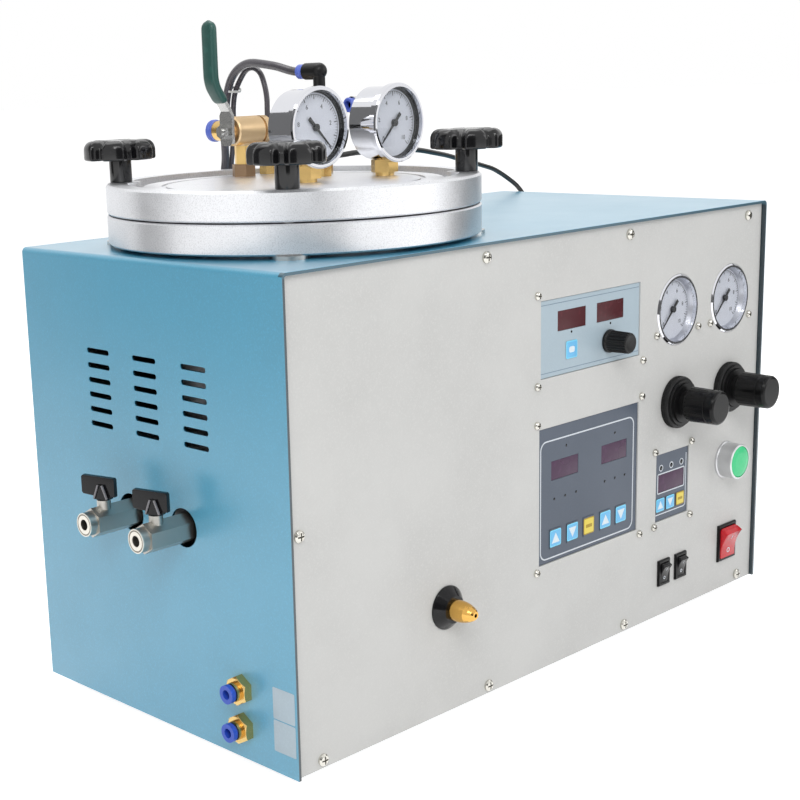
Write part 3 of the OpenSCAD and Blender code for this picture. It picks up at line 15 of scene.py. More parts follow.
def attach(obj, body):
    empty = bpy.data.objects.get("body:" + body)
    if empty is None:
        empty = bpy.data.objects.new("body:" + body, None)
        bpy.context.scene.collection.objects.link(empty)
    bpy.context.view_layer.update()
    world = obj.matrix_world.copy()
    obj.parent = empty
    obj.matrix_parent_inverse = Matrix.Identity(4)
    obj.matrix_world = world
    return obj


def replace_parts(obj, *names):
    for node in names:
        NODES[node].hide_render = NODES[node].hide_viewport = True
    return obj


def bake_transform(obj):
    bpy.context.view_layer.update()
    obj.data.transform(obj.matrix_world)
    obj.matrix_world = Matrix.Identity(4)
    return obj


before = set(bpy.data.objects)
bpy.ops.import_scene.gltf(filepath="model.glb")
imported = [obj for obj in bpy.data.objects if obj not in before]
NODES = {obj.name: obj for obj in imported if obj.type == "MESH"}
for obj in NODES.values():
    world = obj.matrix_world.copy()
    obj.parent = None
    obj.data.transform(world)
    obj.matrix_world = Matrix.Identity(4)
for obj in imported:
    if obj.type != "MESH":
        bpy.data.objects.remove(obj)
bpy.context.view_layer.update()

bl_info = {
    "name": "Wax Injector Looks",
    "version": (1, 0, 0),
    "blender": (4, 5, 0),
    "location": "View3D > Sidebar > Wax Injector",
    "description": "Dresses the solids of a bench wax injector with finishes and fine pieces",
    "category": "Object",
}

MM = 0.001

# Places on the solids, in millimetres; a pair is x and z on the front panel
PANEL_FRONT = -127.0
FILM_FRONT = -126.2
LEFT_WALL = -260.0
POT_X = -126.5
STUD_XY = 82.024
VALVE_Y = {"f": -31.0, "b": 23.0}
VALVE_Z = 150.5
VALVE_STEM_X = -281.5
UPPER_FILM = (36.0, 245.6)
LOWER_FILM = (35.4, 135.1)
SMALL_FILM = (140.7, 112.1)
RIGHT_COLUMNS = (142.5, 214.5)
GAUGE_Z = 246.0
REGULATOR_Z = 176.0
START_SPOT = (214.5, 117.0)
NOZZLE_SPOT = (-120.5, 83.0)
TIMER_SPOT = (56.7, 234.6)


def srgb(r, g, b):
    """Screen colour from 0 to 255 as linear light with full alpha."""
    c = np.array([r, g, b]) / 255.0
    c = np.where(c <= 0.04045, c / 12.92, ((c + 0.055) / 1.055) ** 2.4)
    return tuple(float(v) for v in c) + (1.0,)


def scaled(tone, k):
    """A colour made darker or lighter by a factor."""
    return (min(tone[0] * k, 1.0), min(tone[1] * k, 1.0), min(tone[2] * k, 1.0), 1.0)


# Finishes

def new_group(name, inputs, outputs):
    """An empty shader node group with named sockets, and its input and output nodes."""
    tree = bpy.data.node_groups.new(name, "ShaderNodeTree")
    for label, kind, value in inputs:
        socket = tree.interface.new_socket(label, in_out="INPUT", socket_type=kind)
        if value is not None:
            socket.default_value = value
    for label in outputs:
        tree.interface.new_socket(label, in_out="OUTPUT", socket_type="NodeSocketFloat")
    return tree, tree.nodes.new("NodeGroupInput"), tree.nodes.new("NodeGroupOutput")


def calc(tree, op, a, b=None, c=None, clamp=False):
    """A Math node on numbers or sockets; gives its output socket."""
    n = tree.nodes.new("ShaderNodeMath")
    n.operation = op
    n.use_clamp = clamp
    for i, v in enumerate((a, b, c)):
        if isinstance(v, (int, float)):
            n.inputs[i].default_value = v
        elif v is not None:
            tree.links.new(v, n.inputs[i])
    return n.outputs[0]


def noise(tree, vector, scale, detail=2.0, rough=0.5):
    """A Noise texture; gives its value socket."""
    n = tree.nodes.new("ShaderNodeTexNoise")
    n.inputs["Detail"].default_value = detail
    n.inputs["Roughness"].default_value = rough
    tree.links.new(vector, n.inputs["Vector"])
    if isinstance(scale, (int, float)):
        n.inputs["Scale"].default_value = scale
    else:
        tree.links.new(scale, n.inputs["Scale"])
    return n.outputs["Fac"]


def grain_group():
    """Grain: fine bumps of a given size, slow clouds of tone and rare specks, on Object coordinates."""
    tree, gin, gout = new_group("Grain", [("Size mm", "NodeSocketFloat", 1.0)], ["Height", "Cloud", "Speck"])
    coord = tree.nodes.new("ShaderNodeTexCoord").outputs["Object"]
    scale = calc(tree, "DIVIDE", 1000.0, gin.outputs["Size mm"])
    tree.links.new(noise(tree, coord, scale, 1.0), gout.inputs["Height"])
    tree.links.new(noise(tree, coord, 14.0, 4.0, 0.6), gout.inputs["Cloud"])
    rare = noise(tree, coord, calc(tree, "MULTIPLY", scale, 0.5), 0.0)
    tree.links.new(calc(tree, "MULTIPLY_ADD", rare, 7.0, -4.6, True), gout.inputs["Speck"])
    return tree


def turned_group():
    """Turning marks round the z axis of a vector: noise on the distance from it and the height along it."""
    tree, gin, gout = new_group(
        "Turning marks",
        [("Vector", "NodeSocketVector", None), ("Rings per mm", "NodeSocketFloat", 2.0)],
        ["Height"],
    )
    sep = tree.nodes.new("ShaderNodeSeparateXYZ")
    tree.links.new(gin.outputs["Vector"], sep.inputs[0])
    xx = calc(tree, "MULTIPLY", sep.outputs[0], sep.outputs[0])
    radius = calc(tree, "SQRT", calc(tree, "MULTIPLY_ADD", sep.outputs[1], sep.outputs[1], xx))
    rings = calc(tree, "MULTIPLY", gin.outputs["Rings per mm"], 1000.0)
    along = tree.nodes.new("ShaderNodeCombineXYZ")
    tree.links.new(calc(tree, "MULTIPLY", radius, rings), along.inputs[0])
    tree.links.new(calc(tree, "MULTIPLY", sep.outputs[2], rings), along.inputs[1])
    tree.links.new(noise(tree, along.outputs[0], 1.0, 2.0, 0.6), gout.inputs["Height"])
    return tree


GROUPS = {}


class Finish:
    """A material under construction: its shader and the masks wired to it."""

    def __init__(self, name, tone, rough, metallic=0.0, **sockets):
        self.mat = bpy.data.materials.new(name)
        self.mat.use_nodes = True
        self.tree = self.mat.node_tree
        self.shader = self.tree.nodes["Principled BSDF"]
        self.tone = tone
        self.shader.inputs["Base Color"].default_value = tone
        self.shader.inputs["Roughness"].default_value = rough
        self.shader.inputs["Metallic"].default_value = metallic
        for label, value in sockets.items():
            self.shader.inputs[label.replace("_", " ")].default_value = value
        self.mat.diffuse_color = tone

    def group(self, key, **values):
        """Places a shared group with its own values."""
        n = self.tree.nodes.new("ShaderNodeGroup")
        n.node_tree = GROUPS[key]
        for label, value in values.items():
            n.inputs[label.replace("_", " ")].default_value = value
        return n

    def round_axis(self, key, centre, turn, **values):
        """Places a group that works round an axis through centre; turn gives the axis from z."""
        coord = self.tree.nodes.new("ShaderNodeTexCoord").outputs["Object"]
        m = self.tree.nodes.new("ShaderNodeMapping")
        m.vector_type = "TEXTURE"
        m.inputs["Location"].default_value = [v * MM for v in centre]
        m.inputs["Rotation"].default_value = [math.radians(v) for v in turn]
        self.tree.links.new(coord, m.inputs["Vector"])
        n = self.group(key, **values)
        self.tree.links.new(m.outputs["Vector"], n.inputs["Vector"])
        return n

    def along(self, axis):
        """One of the Object coordinates."""
        sep = self.tree.nodes.new("ShaderNodeSeparateXYZ")
        self.tree.links.new(self.tree.nodes.new("ShaderNodeTexCoord").outputs["Object"], sep.inputs[0])
        return sep.outputs[axis]

    def ranged(self, mask, low, high, to_low=0.0, to_high=1.0):
        """A mask stretched between two levels."""
        n = self.tree.nodes.new("ShaderNodeMapRange")
        for label, value in (("From Min", low), ("From Max", high), ("To Min", to_low), ("To Max", to_high)):
            n.inputs[label].default_value = value
        self.tree.links.new(mask, n.inputs["Value"])
        return n.outputs["Result"]

    def tint(self, mask, other, low=0.0, high=1.0):
        """Base colour that goes towards another one with a mask."""
        mix = self.tree.nodes.new("ShaderNodeMix")
        mix.data_type = "RGBA"
        mix.inputs["A"].default_value = self.tone
        mix.inputs["B"].default_value = other
        base = self.shader.inputs["Base Color"]
        if base.links:
            self.tree.links.new(base.links[0].from_socket, mix.inputs["A"])
        self.tree.links.new(self.ranged(mask, low, high), mix.inputs["Factor"])
        self.tree.links.new(mix.outputs["Result"], base)
        return self

    def rough(self, mask, low, high):
        """Roughness that follows a mask."""
        self.tree.links.new(self.ranged(mask, 0.3, 0.7, low, high), self.shader.inputs["Roughness"])
        return self

    def bump(self, height, strength, depth_mm):
        """Bump from a height of 0 to 1 over a depth, added to any bump before it."""
        b = self.tree.nodes.new("ShaderNodeBump")
        b.inputs["Strength"].default_value = strength
        b.inputs["Distance"].default_value = depth_mm * MM
        self.tree.links.new(height, b.inputs["Height"])
        normal = self.shader.inputs["Normal"]
        if normal.links:
            self.tree.links.new(normal.links[0].from_socket, b.inputs["Normal"])
        self.tree.links.new(b.outputs["Normal"], normal)
        return self


def paint(name, tone, rough, grain_mm, depth_mm, speck, **sockets):
    """Textured enamel: fine bumps, a slow cloud of tone and paler crests."""
    f = Finish(name, tone, rough, 0.0, **sockets)
    g = f.group("grain", Size_mm=grain_mm)
    f.tint(g.outputs["Cloud"], scaled(tone, 0.93), 0.35, 0.65)
    f.tint(g.outputs["Height"], scaled(tone, speck), 0.5, 0.85)
    f.rough(g.outputs["Cloud"], rough - 0.05, rough + 0.05)
    f.bump(g.outputs["Height"], 0.5, depth_mm)
    return f


def metal(name, tone, rough, grain_mm=0.5, depth_mm=0.02, cloud=0.9):
    """Bare or plated metal: fine grain and a slow cloud of tone and polish."""
    f = Finish(name, tone, rough, 1.0)
    g = f.group("grain", Size_mm=grain_mm)
    f.tint(g.outputs["Cloud"], scaled(tone, cloud), 0.35, 0.65)
    f.rough(g.outputs["Cloud"], rough * 0.8, rough * 1.2)
    f.bump(g.outputs["Height"], 0.4, depth_mm)
    return f


def moulding(name, tone, rough, grain_mm=0.6, depth_mm=0.01, speck=1.3, **sockets):
    """Moulded plastic or rubber: faint grain, uneven gloss and paler worn specks."""
    f = Finish(name, tone, rough, 0.0, **sockets)
    g = f.group("grain", Size_mm=grain_mm)
    f.tint(g.outputs["Speck"], scaled(tone, speck))
    f.rough(g.outputs["Cloud"], rough * 0.8, rough * 1.25)
    f.bump(g.outputs["Height"], 0.4, depth_mm)
    return f


def print_ink(name, tone, rough=0.5):
    """Printed ink: slightly uneven in tone at the size of its dots."""
    f = Finish(name, tone, rough)
    g = f.group("grain", Size_mm=0.35)
    return f.tint(g.outputs["Height"], scaled(tone, 0.85), 0.4, 0.8).mat


def dress(finish, *names):
    """Gives CAD nodes a finish."""
    mat = finish.mat if isinstance(finish, Finish) else finish
    for n in names:
        NODES[n].data.materials.clear()
        NODES[n].data.materials.append(mat)


# Surfaces as whole arrays

def quads(rows, cols):
    """Faces between neighbouring rows of a grid whose columns close round."""
    i = np.arange(rows - 1)[:, None] * cols
    j = np.arange(cols)[None, :]
    k = (j + 1) % cols
    return np.stack([i + j, i + k, i + cols + k, i + cols + j], -1).reshape(-1, 4)


class Skin:
    """Points and faces of one mesh, gathered from several surfaces, in millimetres."""

    def __init__(self):
        self.points, self.loops, self.sizes, self.count = [], [], [], 0

    def add(self, points, faces):
        """Adds points and a face array of any one size of face."""
        points = np.asarray(points, float).reshape(-1, 3)
        faces = np.asarray(faces)
        self.points.append(points)
        self.loops.append(faces.ravel() + self.count)
        self.sizes.append(np.full(len(faces), faces.shape[1]))
        self.count += len(points)
        return self

    def loft(self, rings):
        """A skin through rings of points, each anticlockwise seen from the far end, closed by flat ends."""
        rings = np.asarray(rings, float)
        m, n = rings.shape[:2]
        start = self.count
        self.add(rings, quads(m, n))
        caps = np.stack([np.arange(n)[::-1], (m - 1) * n + np.arange(n)]) + start
        self.loops.append(caps.ravel())
        self.sizes.append(np.array([n, n]))
        return self

    def hoop(self, rings):
        """A skin through rings that close on themselves, the last one joined to the first."""
        rings = np.asarray(rings, float)
        m, n = rings.shape[:2]
        faces = quads(m + 1, n) % (m * n)
        return self.add(rings, faces)

    def make(self, name, finish, body, sharp=40.0, slot=None):
        """The mesh as an object that rides on a body."""
        points = np.concatenate(self.points) * MM
        loops = np.concatenate(self.loops).astype(np.int32)
        sizes = np.concatenate(self.sizes)
        mesh = bpy.data.meshes.new(name)
        mesh.vertices.add(len(points))
        mesh.vertices.foreach_set("co", points.astype(np.float32).ravel())
        mesh.loops.add(len(loops))
        mesh.loops.foreach_set("vertex_index", loops)
        mesh.polygons.add(len(sizes))
        mesh.polygons.foreach_set("loop_start", (np.cumsum(sizes) - sizes).astype(np.int32))
        mesh.update(calc_edges=True)
        mesh.polygons.foreach_set("use_smooth", np.ones(len(sizes), bool))
        mesh.set_sharp_from_angle(angle=math.radians(sharp))
        mesh.materials.append(finish.mat if isinstance(finish, Finish) else finish)
        obj = bpy.data.objects.new(name, mesh)
        bpy.context.scene.collection.objects.link(obj)
        if body:
            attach(obj, body)
        return obj


def spot(origin, out, up):
    """A place on the object: its origin, and columns that point across, up and out of the surface."""
    out = np.array(out, float) / np.linalg.norm(out)
    up = np.array(up, float) - out * np.dot(up, out)
    up /= np.linalg.norm(up)
    return np.array(origin, float), np.stack([np.cross(up, out), up, out], 1)


def panel_spot(x, z, y=PANEL_FRONT):
    """A place on the front panel: local x to the right, y up and z out to the front."""
    return spot((x, y, z), (0, -1, 0), (0, 0, 1))


def place(points, at):
    """Local points carried to a place."""
    return np.asarray(points, float) @ at[1].T + at[0]


def revolved(profile, at, turns=72):
    """Rings of a profile of radius and height, turned round the local z axis."""
    profile = np.asarray(profile, float)
    a = np.linspace(0, 2 * np.pi, turns, endpoint=False)
    x = profile[:, :1] * np.cos(a)
    y = profile[:, :1] * np.sin(a)
    z = np.broadcast_to(profile[:, 1:2], x.shape)
    return place(np.stack([x, y, z], -1), at)


def rounded(w, h, r, steps=5):
    """Outline of a rectangle with round corners, anticlockwise: corner centres plus quarter circles."""
    a = np.linspace(0, np.pi / 2, steps + 1)[None, :] + np.arange(4)[:, None] * np.pi / 2
    sx = np.array([1, -1, -1, 1])[:, None] * (w / 2 - r)
    sy = np.array([1, 1, -1, -1])[:, None] * (h / 2 - r)
    return np.stack([sx + r * np.cos(a), sy + r * np.sin(a)], -1).reshape(-1, 2)


def inward(outline):
    """Steps that draw an outline in by one: the mean of the normals of the two sides at each corner,
    over the cosine of half the corner's turn."""
    outline = np.asarray(outline, float)
    side = np.roll(outline, -1, 0) - outline
    side /= np.linalg.norm(side, axis=1, keepdims=True)
    normal = np.stack([-side[:, 1], side[:, 0]], -1)
    mean = normal + np.roll(normal, 1, 0)
    mean /= np.linalg.norm(mean, axis=1, keepdims=True)
    return mean / (mean * normal).sum(1, keepdims=True)


def plate(outline, low, high, edge, at, shift=(0, 0)):
    """Rings of a flat plate: its wall, an upper edge rounded by a quarter circle, and its top."""
    outline = np.asarray(outline, float)
    t = np.linspace(0, np.pi / 2, 4)
    drawn = np.concatenate([[0.0], edge * (1 - np.cos(t))])
    z = np.concatenate([[low], high - edge + edge * np.sin(t)])
    flat = outline[None] + inward(outline)[None] * drawn[:, None, None] + np.asarray(shift, float)
    z = np.broadcast_to(z[:, None, None], flat.shape[:2] + (1,))
    return place(np.concatenate([flat, z], -1), at)


def band(outer, inner, low, high, at, shift=(0, 0)):
    """Rings of a flat band between two outlines: foot and top of the outer wall, then of the inner one."""
    levels = ((outer, low), (outer, high), (inner, high), (inner, low))
    rings = [np.column_stack([np.asarray(o) + shift, np.full(len(o), z)]) for o, z in levels]
    return place(np.array(rings), at)


def stroke(path, width, low, high, at):
    """Rings of a drawn line: at each point of a flat path its two edges, at two heights."""
    path = np.asarray(path, float)
    way = np.gradient(path, axis=0)
    way /= np.linalg.norm(way, axis=1, keepdims=True)
    left = np.stack([-way[:, 1], way[:, 0]], -1) * width / 2
    corners = ((left, low), (left, high), (-left, high), (-left, low))
    rings = np.stack([np.column_stack([path + e, np.full(len(path), z)]) for e, z in corners], 1)
    return place(rings, at)


def bars(centres, angles, length, width, low, high, at):
    """Boxes on a plane, one for each centre and angle, as eight points and six faces each."""
    corner = np.array([[-1, -1], [1, -1], [1, 1], [-1, 1]]) * 0.5
    size = np.stack([np.broadcast_to(length, len(centres)), np.broadcast_to(width, len(centres))], -1)
    local = corner[None] * size[:, None]
    c, s = np.cos(angles)[:, None], np.sin(angles)[:, None]
    x = local[..., 0] * c - local[..., 1] * s + centres[:, :1]
    y = local[..., 0] * s + local[..., 1] * c + centres[:, 1:]
    flat = np.stack([x, y], -1)
    z = np.array([low, high])[None, :, None, None]
    flat = np.broadcast_to(flat[:, None], (len(centres), 2, 4, 2))
    pts = np.concatenate([flat, np.broadcast_to(z, (len(centres), 2, 4, 1))], -1)
    box = np.array([[3, 2, 1, 0], [4, 5, 6, 7], [0, 1, 5, 4], [1, 2, 6, 5], [2, 3, 7, 6], [3, 0, 4, 7]])
    faces = (np.arange(len(centres))[:, None, None] * 8 + box[None]).reshape(-1, 4)
    return place(pts, at), faces


def numerals(name, marks, size, at, finish, body, low, thick):
    """Plain figures on a flat face: text outlines made meshes, then moved to their marks in one mesh."""
    skin = Skin()
    for words, x, y in marks:
        curve = bpy.data.curves.new(name, "FONT")
        curve.body = words
        curve.size = size
        curve.align_x = "CENTER"
        curve.align_y = "CENTER"
        curve.extrude = thick / 2
        temp = bpy.data.objects.new(name, curve)
        bpy.context.scene.collection.objects.link(temp)
        bpy.context.view_layer.update()
        mesh = bpy.data.meshes.new_from_object(temp)
        mesh.calc_loop_triangles()
        co = np.empty(len(mesh.vertices) * 3, np.float32)
        mesh.vertices.foreach_get("co", co)
        tri = np.empty(len(mesh.loop_triangles) * 3, np.int32)
        mesh.loop_triangles.foreach_get("vertices", tri)
        skin.add(place(co.reshape(-1, 3) + [x, y, low + thick / 2], at), tri.reshape(-1, 3))
        bpy.data.objects.remove(temp)
        bpy.data.curves.remove(curve)
        bpy.data.meshes.remove(mesh)
    return skin.make(name, finish, body, 30.0)


def smooth_route(points, per=5):
    """A Catmull-Rom curve through points: each span is a cubic of its two ends and their neighbours."""
    p = np.asarray(points, float)
    e = np.vstack([2 * p[0] - p[1], p, 2 * p[-1] - p[-2]])
    t = np.linspace(0, 1, per, endpoint=False)[None, :, None]
    a, b, c, d = (e[k:len(p) - 1 + k, None] for k in range(4))
    span = 0.5 * (2 * b + (c - a) * t + (2 * a - 5 * b + 4 * c - d) * t**2 + (3 * b - a - 3 * c + d) * t**3)
    return np.vstack([span.reshape(-1, 3), p[-1:]])


def tube_rings(route, radius, across, sides=16):
    """Circles square to a route: a radius times cosine and sine along two directions across its way."""
    way = np.gradient(route, axis=0)
    way /= np.linalg.norm(way, axis=1, keepdims=True)
    side = np.cross(way, across)
    side /= np.linalg.norm(side, axis=1, keepdims=True)
    other = np.cross(way, side)
    a = np.linspace(0, 2 * np.pi, sides, endpoint=False)[None, :, None]
    return route[:, None] + radius * (np.cos(a) * side[:, None] + np.sin(a) * other[:, None])


def smooth_step(x):
    """0 below zero, 1 above one, and a cubic with level ends between them."""
    x = np.clip(x, 0.0, 1.0)
    return x * x * (3.0 - 2.0 * x)


# Settings

def tone_setting(label, words, tone):
    """A colour that a user may change."""
    return bpy.props.FloatVectorProperty(
        name=label, description=words, subtype="COLOR", size=4, min=0.0, max=1.0, default=tone
    )


def length_setting(label, words, mm):
    """A length that a user may change, kept in metres."""
    return bpy.props.FloatProperty(
        name=label, description=words, subtype="DISTANCE", unit="LENGTH", min=0.0, default=mm * MM
    )


class InjectorColours(bpy.types.PropertyGroup):
    """Colours of the painted, moulded and printed pieces."""

    case: tone_setting("Case", "Enamel of the sheet case", srgb(83, 165, 197))
    panel: tone_setting("Front panel", "Enamel of the front panel", srgb(210, 210, 208))
    upper_film: tone_setting("Upper film", "Pale film of the upper display", srgb(176, 194, 205))
    lower_film: tone_setting("Lower films", "Slate film of the two lower displays", srgb(74, 85, 101))
    red_window: tone_setting("Upper windows", "Filter of the upper display's windows", srgb(80, 30, 37))
    plum_window: tone_setting("Lower windows", "Filter of the lower displays' windows", srgb(76, 50, 76))
    key_blue: tone_setting("Blue keys", "Fields of the blue keys", srgb(112, 194, 243))
    key_yellow: tone_setting("Yellow keys", "Fields of the yellow keys", srgb(236, 214, 84))
    button: tone_setting("Start button", "Cap of the start button", srgb(50, 210, 136))
    rocker: tone_setting("Power rocker", "Lit rocker of the power switch", srgb(205, 28, 40))
    collar: tone_setting("Release collars", "Press collars of the tube ports", srgb(50, 86, 198))
    sleeve: tone_setting("Lever sleeve", "Dipped sleeve of the vent lever", srgb(38, 84, 77))


class InjectorSizes(bpy.types.PropertyGroup):
    """Sizes of the fine pieces."""

    tick: length_setting("Long tick", "Length of a dial's long ticks", 3.0)
    figure: length_setting("Figure", "Height of a dial's figures", 4.2)
    line: length_setting("Frame line", "Width of the lines printed round a display", 1.0)
    print_height: length_setting("Print height", "Height of printed marks over their ground", 0.08)
    tie: length_setting("Tie", "Width of the tie round the two tubes", 1.5)


# Shared finishes

FINISH = {}


def gauge_glass():
    """Clear gauge glass: a mirror film whose cover grows at glancing angles."""
    f = Finish("Gauge glass", srgb(246, 250, 252), 0.03, 1.0)
    facing = f.tree.nodes.new("ShaderNodeLayerWeight").outputs["Facing"]
    steep = calc(f.tree, "POWER", facing, 4.0)
    f.tree.links.new(f.ranged(steep, 0.0, 1.0, 0.015, 0.7), f.shader.inputs["Alpha"])
    return f


# Where finishes change on a solid, in millimetres
# Bounds of the painted shade on the case's front lips and in the side sheets' slots and holes
LIP_FRONT_Y = -126.6
SIDE_FACE_X = 259.85
SIDE_INNER_X = 259.5
TOP_FACE_Z = 317.85
VENT_NECK_Z = 378.0
VENT_NUT_Z = 365.2
VALVE_END_X = -297.2
VALVE_RING_SHADE_R = 6.6
VALVE_RING_SHADE_HALF = 0.45


def enamel_and_painted_shade(name, tone, slot_shade=False):
    """Textured enamel of the sheets with painted shade: darker on their front edges and the inner faces in
    front of the panel;
    a side sheet also gets painted shade under its outer face, which shows in its slots and holes."""
    f = paint(name, tone, 0.36, 1.1, 0.10, 1.16, Coat_Weight=1.0, Coat_Roughness=0.28)
    front = calc(f.tree, "LESS_THAN", f.along(1), LIP_FRONT_Y * MM)
    side = calc(f.tree, "LESS_THAN", calc(f.tree, "ABSOLUTE", f.along(0)), SIDE_FACE_X * MM)
    under = calc(f.tree, "LESS_THAN", f.along(2), TOP_FACE_Z * MM)
    lip_shade = calc(f.tree, "MULTIPLY", calc(f.tree, "MULTIPLY", front, side), under)
    # Painted shade on the front lips and the inner faces in front of the panel: a quarter of the tone
    f.tint(lip_shade, scaled(tone, 0.24))
    if slot_shade:
        # Painted shade in the side sheets' slots and holes: everything under the outer face goes nearly black
        inner = calc(f.tree, "LESS_THAN", calc(f.tree, "ABSOLUTE", f.along(0)), SIDE_INNER_X * MM)
        f.tint(inner, scaled(tone, 0.06))
    return f


def valve_brass():
    """Cast brass of the vent valve: matt tan, with a brown base nut under a bright neck."""
    f = metal("Cast brass", srgb(220, 192, 152), 0.46, 0.6, 0.04, 0.86)
    height = f.along(2)
    f.tint(calc(f.tree, "LESS_THAN", height, VENT_NECK_Z * MM), srgb(240, 204, 132))
    return f.tint(calc(f.tree, "LESS_THAN", height, VENT_NUT_Z * MM), srgb(150, 124, 98))


def valve_nickel():
    """Nickel of the two ball valves: dull flanks, a bright end face and a dark ring of painted shade round
    its mouth.
    """
    f = metal("Ball valve nickel", srgb(182, 180, 174), 0.34, 0.6, 0.03, 0.88)
    end = calc(f.tree, "LESS_THAN", f.along(0), VALVE_END_X * MM)
    f.tint(end, srgb(222, 218, 208))
    middle = (VALVE_Y["f"] + VALVE_Y["b"]) / 2
    apart = VALVE_Y["b"] - middle
    y = calc(f.tree, "ABSOLUTE", calc(f.tree, "ADD", f.along(1), -middle * MM))
    y = calc(f.tree, "SUBTRACT", y, apart * MM)
    z = calc(f.tree, "SUBTRACT", f.along(2), VALVE_Z * MM)
    radius = calc(f.tree, "SQRT", calc(f.tree, "MULTIPLY_ADD", y, y, calc(f.tree, "MULTIPLY", z, z)))
    ring_shade = calc(f.tree, "COMPARE", radius, VALVE_RING_SHADE_R * MM, VALVE_RING_SHADE_HALF * MM)
    # Painted shade: a dark ring on the end face round the mouth
    return f.tint(calc(f.tree, "MULTIPLY", end, ring_shade), srgb(120, 116, 108))


def blasted(name, tone, rough):
    """Bead-blasted aluminium: fine sparkling grain over faint turning marks round the pot's axis."""
    f = metal(name, tone, rough, 0.55, 0.03, 0.95)
    grain = f.group("grain", Size_mm=0.7)
    f.tint(grain.outputs["Height"], scaled(tone, 0.7), 0.45, 0.85)
    turned = f.round_axis("turned", (POT_X, 0, 0), (0, 0, 0), Rings_per_mm=0.9)
    return f.bump(turned.outputs["Height"], 0.25, 0.03)


class INJECTOR_OT_finishes(bpy.types.Operator):
    """Make the shared shader groups and the finishes that several pieces use"""

    bl_idname = "injector.finishes"
    bl_label = "Finishes"

    def execute(self, context):
        tone = context.scene.injector_colours
        GROUPS.update(grain=grain_group(), turned=turned_group())
        FINISH.update(
            enamel=enamel_and_painted_shade("Case enamel and painted shade", tone.case[:]),
            side_enamel=enamel_and_painted_shade("Side enamel and painted shade", tone.case[:], True),
            panel=paint("Panel enamel", tone.panel[:], 0.5, 1.1, 0.06, 1.04),
            lid=blasted("Blasted aluminium", srgb(236, 237, 240), 0.40),
            pot=blasted("Satin aluminium", srgb(228, 229, 232), 0.38),
            chrome=metal("Chrome plate", srgb(228, 229, 234), 0.06, 2.5, 0.003, 0.97),
            bright=metal("Bright nickel", srgb(222, 220, 214), 0.14, 0.8, 0.01, 0.93),
            zinc=metal("Zinc plate", srgb(204, 204, 202), 0.26, 1.6, 0.03, 0.8),
            steel=metal("Zinc-plated sheet", srgb(188, 190, 192), 0.4, 2.2, 0.02, 0.85),
            brass=metal("Machined brass", srgb(226, 190, 122), 0.22, 0.9, 0.015, 0.86),
            gloss=moulding(
                "Gloss black moulding", srgb(18, 18, 20), 0.12, 1.8, 0.004, 1.5, Specular_IOR_Level=0.3
            ),
            lacquer=moulding(
                "Polished black moulding", srgb(14, 14, 16), 0.14, 1.8, 0.004, Specular_IOR_Level=0.5
            ),
            black=moulding(
                "Black moulding", srgb(16, 16, 17), 0.36, 0.7, 0.012, 1.5, Specular_IOR_Level=0.28
            ),
            # Painted highlight: the handles' ribs are a paler grey standing for the glints on their edges
            rubbed=moulding("Painted rib highlight", srgb(128, 126, 130), 0.3, 0.7, 0.01, 1.2),
            rubber=moulding("Foot rubber", srgb(24, 24, 25), 0.72, 0.8, 0.03, 1.5),
            collar=moulding("Collar moulding", tone.collar[:], 0.28, 0.7, 0.01, 1.2),
            dial=paint("Dial enamel", srgb(215, 219, 229), 0.45, 0.9, 0.003, 1.02),
            ink=print_ink("Dial ink", srgb(24, 25, 28)),
            white_ink=print_ink("White ink", srgb(222, 228, 235)),
            red=moulding("Red filter", tone.red_window[:], 0.3, 2.0, 0.004, 1.25, Specular_IOR_Level=0.25),
            plum=moulding("Plum filter", tone.plum_window[:], 0.3, 2.0, 0.004, 1.2, Specular_IOR_Level=0.25),
            blue=moulding("Blue key field", tone.key_blue[:], 0.34, 0.8, 0.006, 1.06),
            glass=gauge_glass(),
        )
        return {"FINISHED"}


# Camera and cords

LENS_MM = 68.16
LENS_SHIFT = (0.144, 0.0346)
CAMERA_AT = (-0.8309, -0.7497, 0.4234)
CAMERA_RIGHT = (0.73062522, -0.68191251, -0.03438204)
CAMERA_UP = (0.17752815, 0.14110351, 0.97394741)
CAMERA_BACK = (-0.65929549, -0.71769432, 0.22415245)


class INJECTOR_OT_camera(bpy.types.Operator):
    """Set the camera to the left of the front and a little above the lid"""

    bl_idname = "injector.camera"
    bl_label = "Camera"

    def execute(self, context):
        data = bpy.data.cameras.new("Camera")
        data.sensor_width = 36.0
        data.lens = LENS_MM
        data.shift_x, data.shift_y = LENS_SHIFT
        turn = np.eye(4)
        turn[:3] = np.stack([CAMERA_RIGHT, CAMERA_UP, CAMERA_BACK, CAMERA_AT], 1)
        camera = bpy.data.objects.new("Camera", data)
        camera.matrix_world = Matrix(turn.tolist())
        context.scene.collection.objects.link(camera)
        context.scene.camera = camera
        return {"FINISHED"}


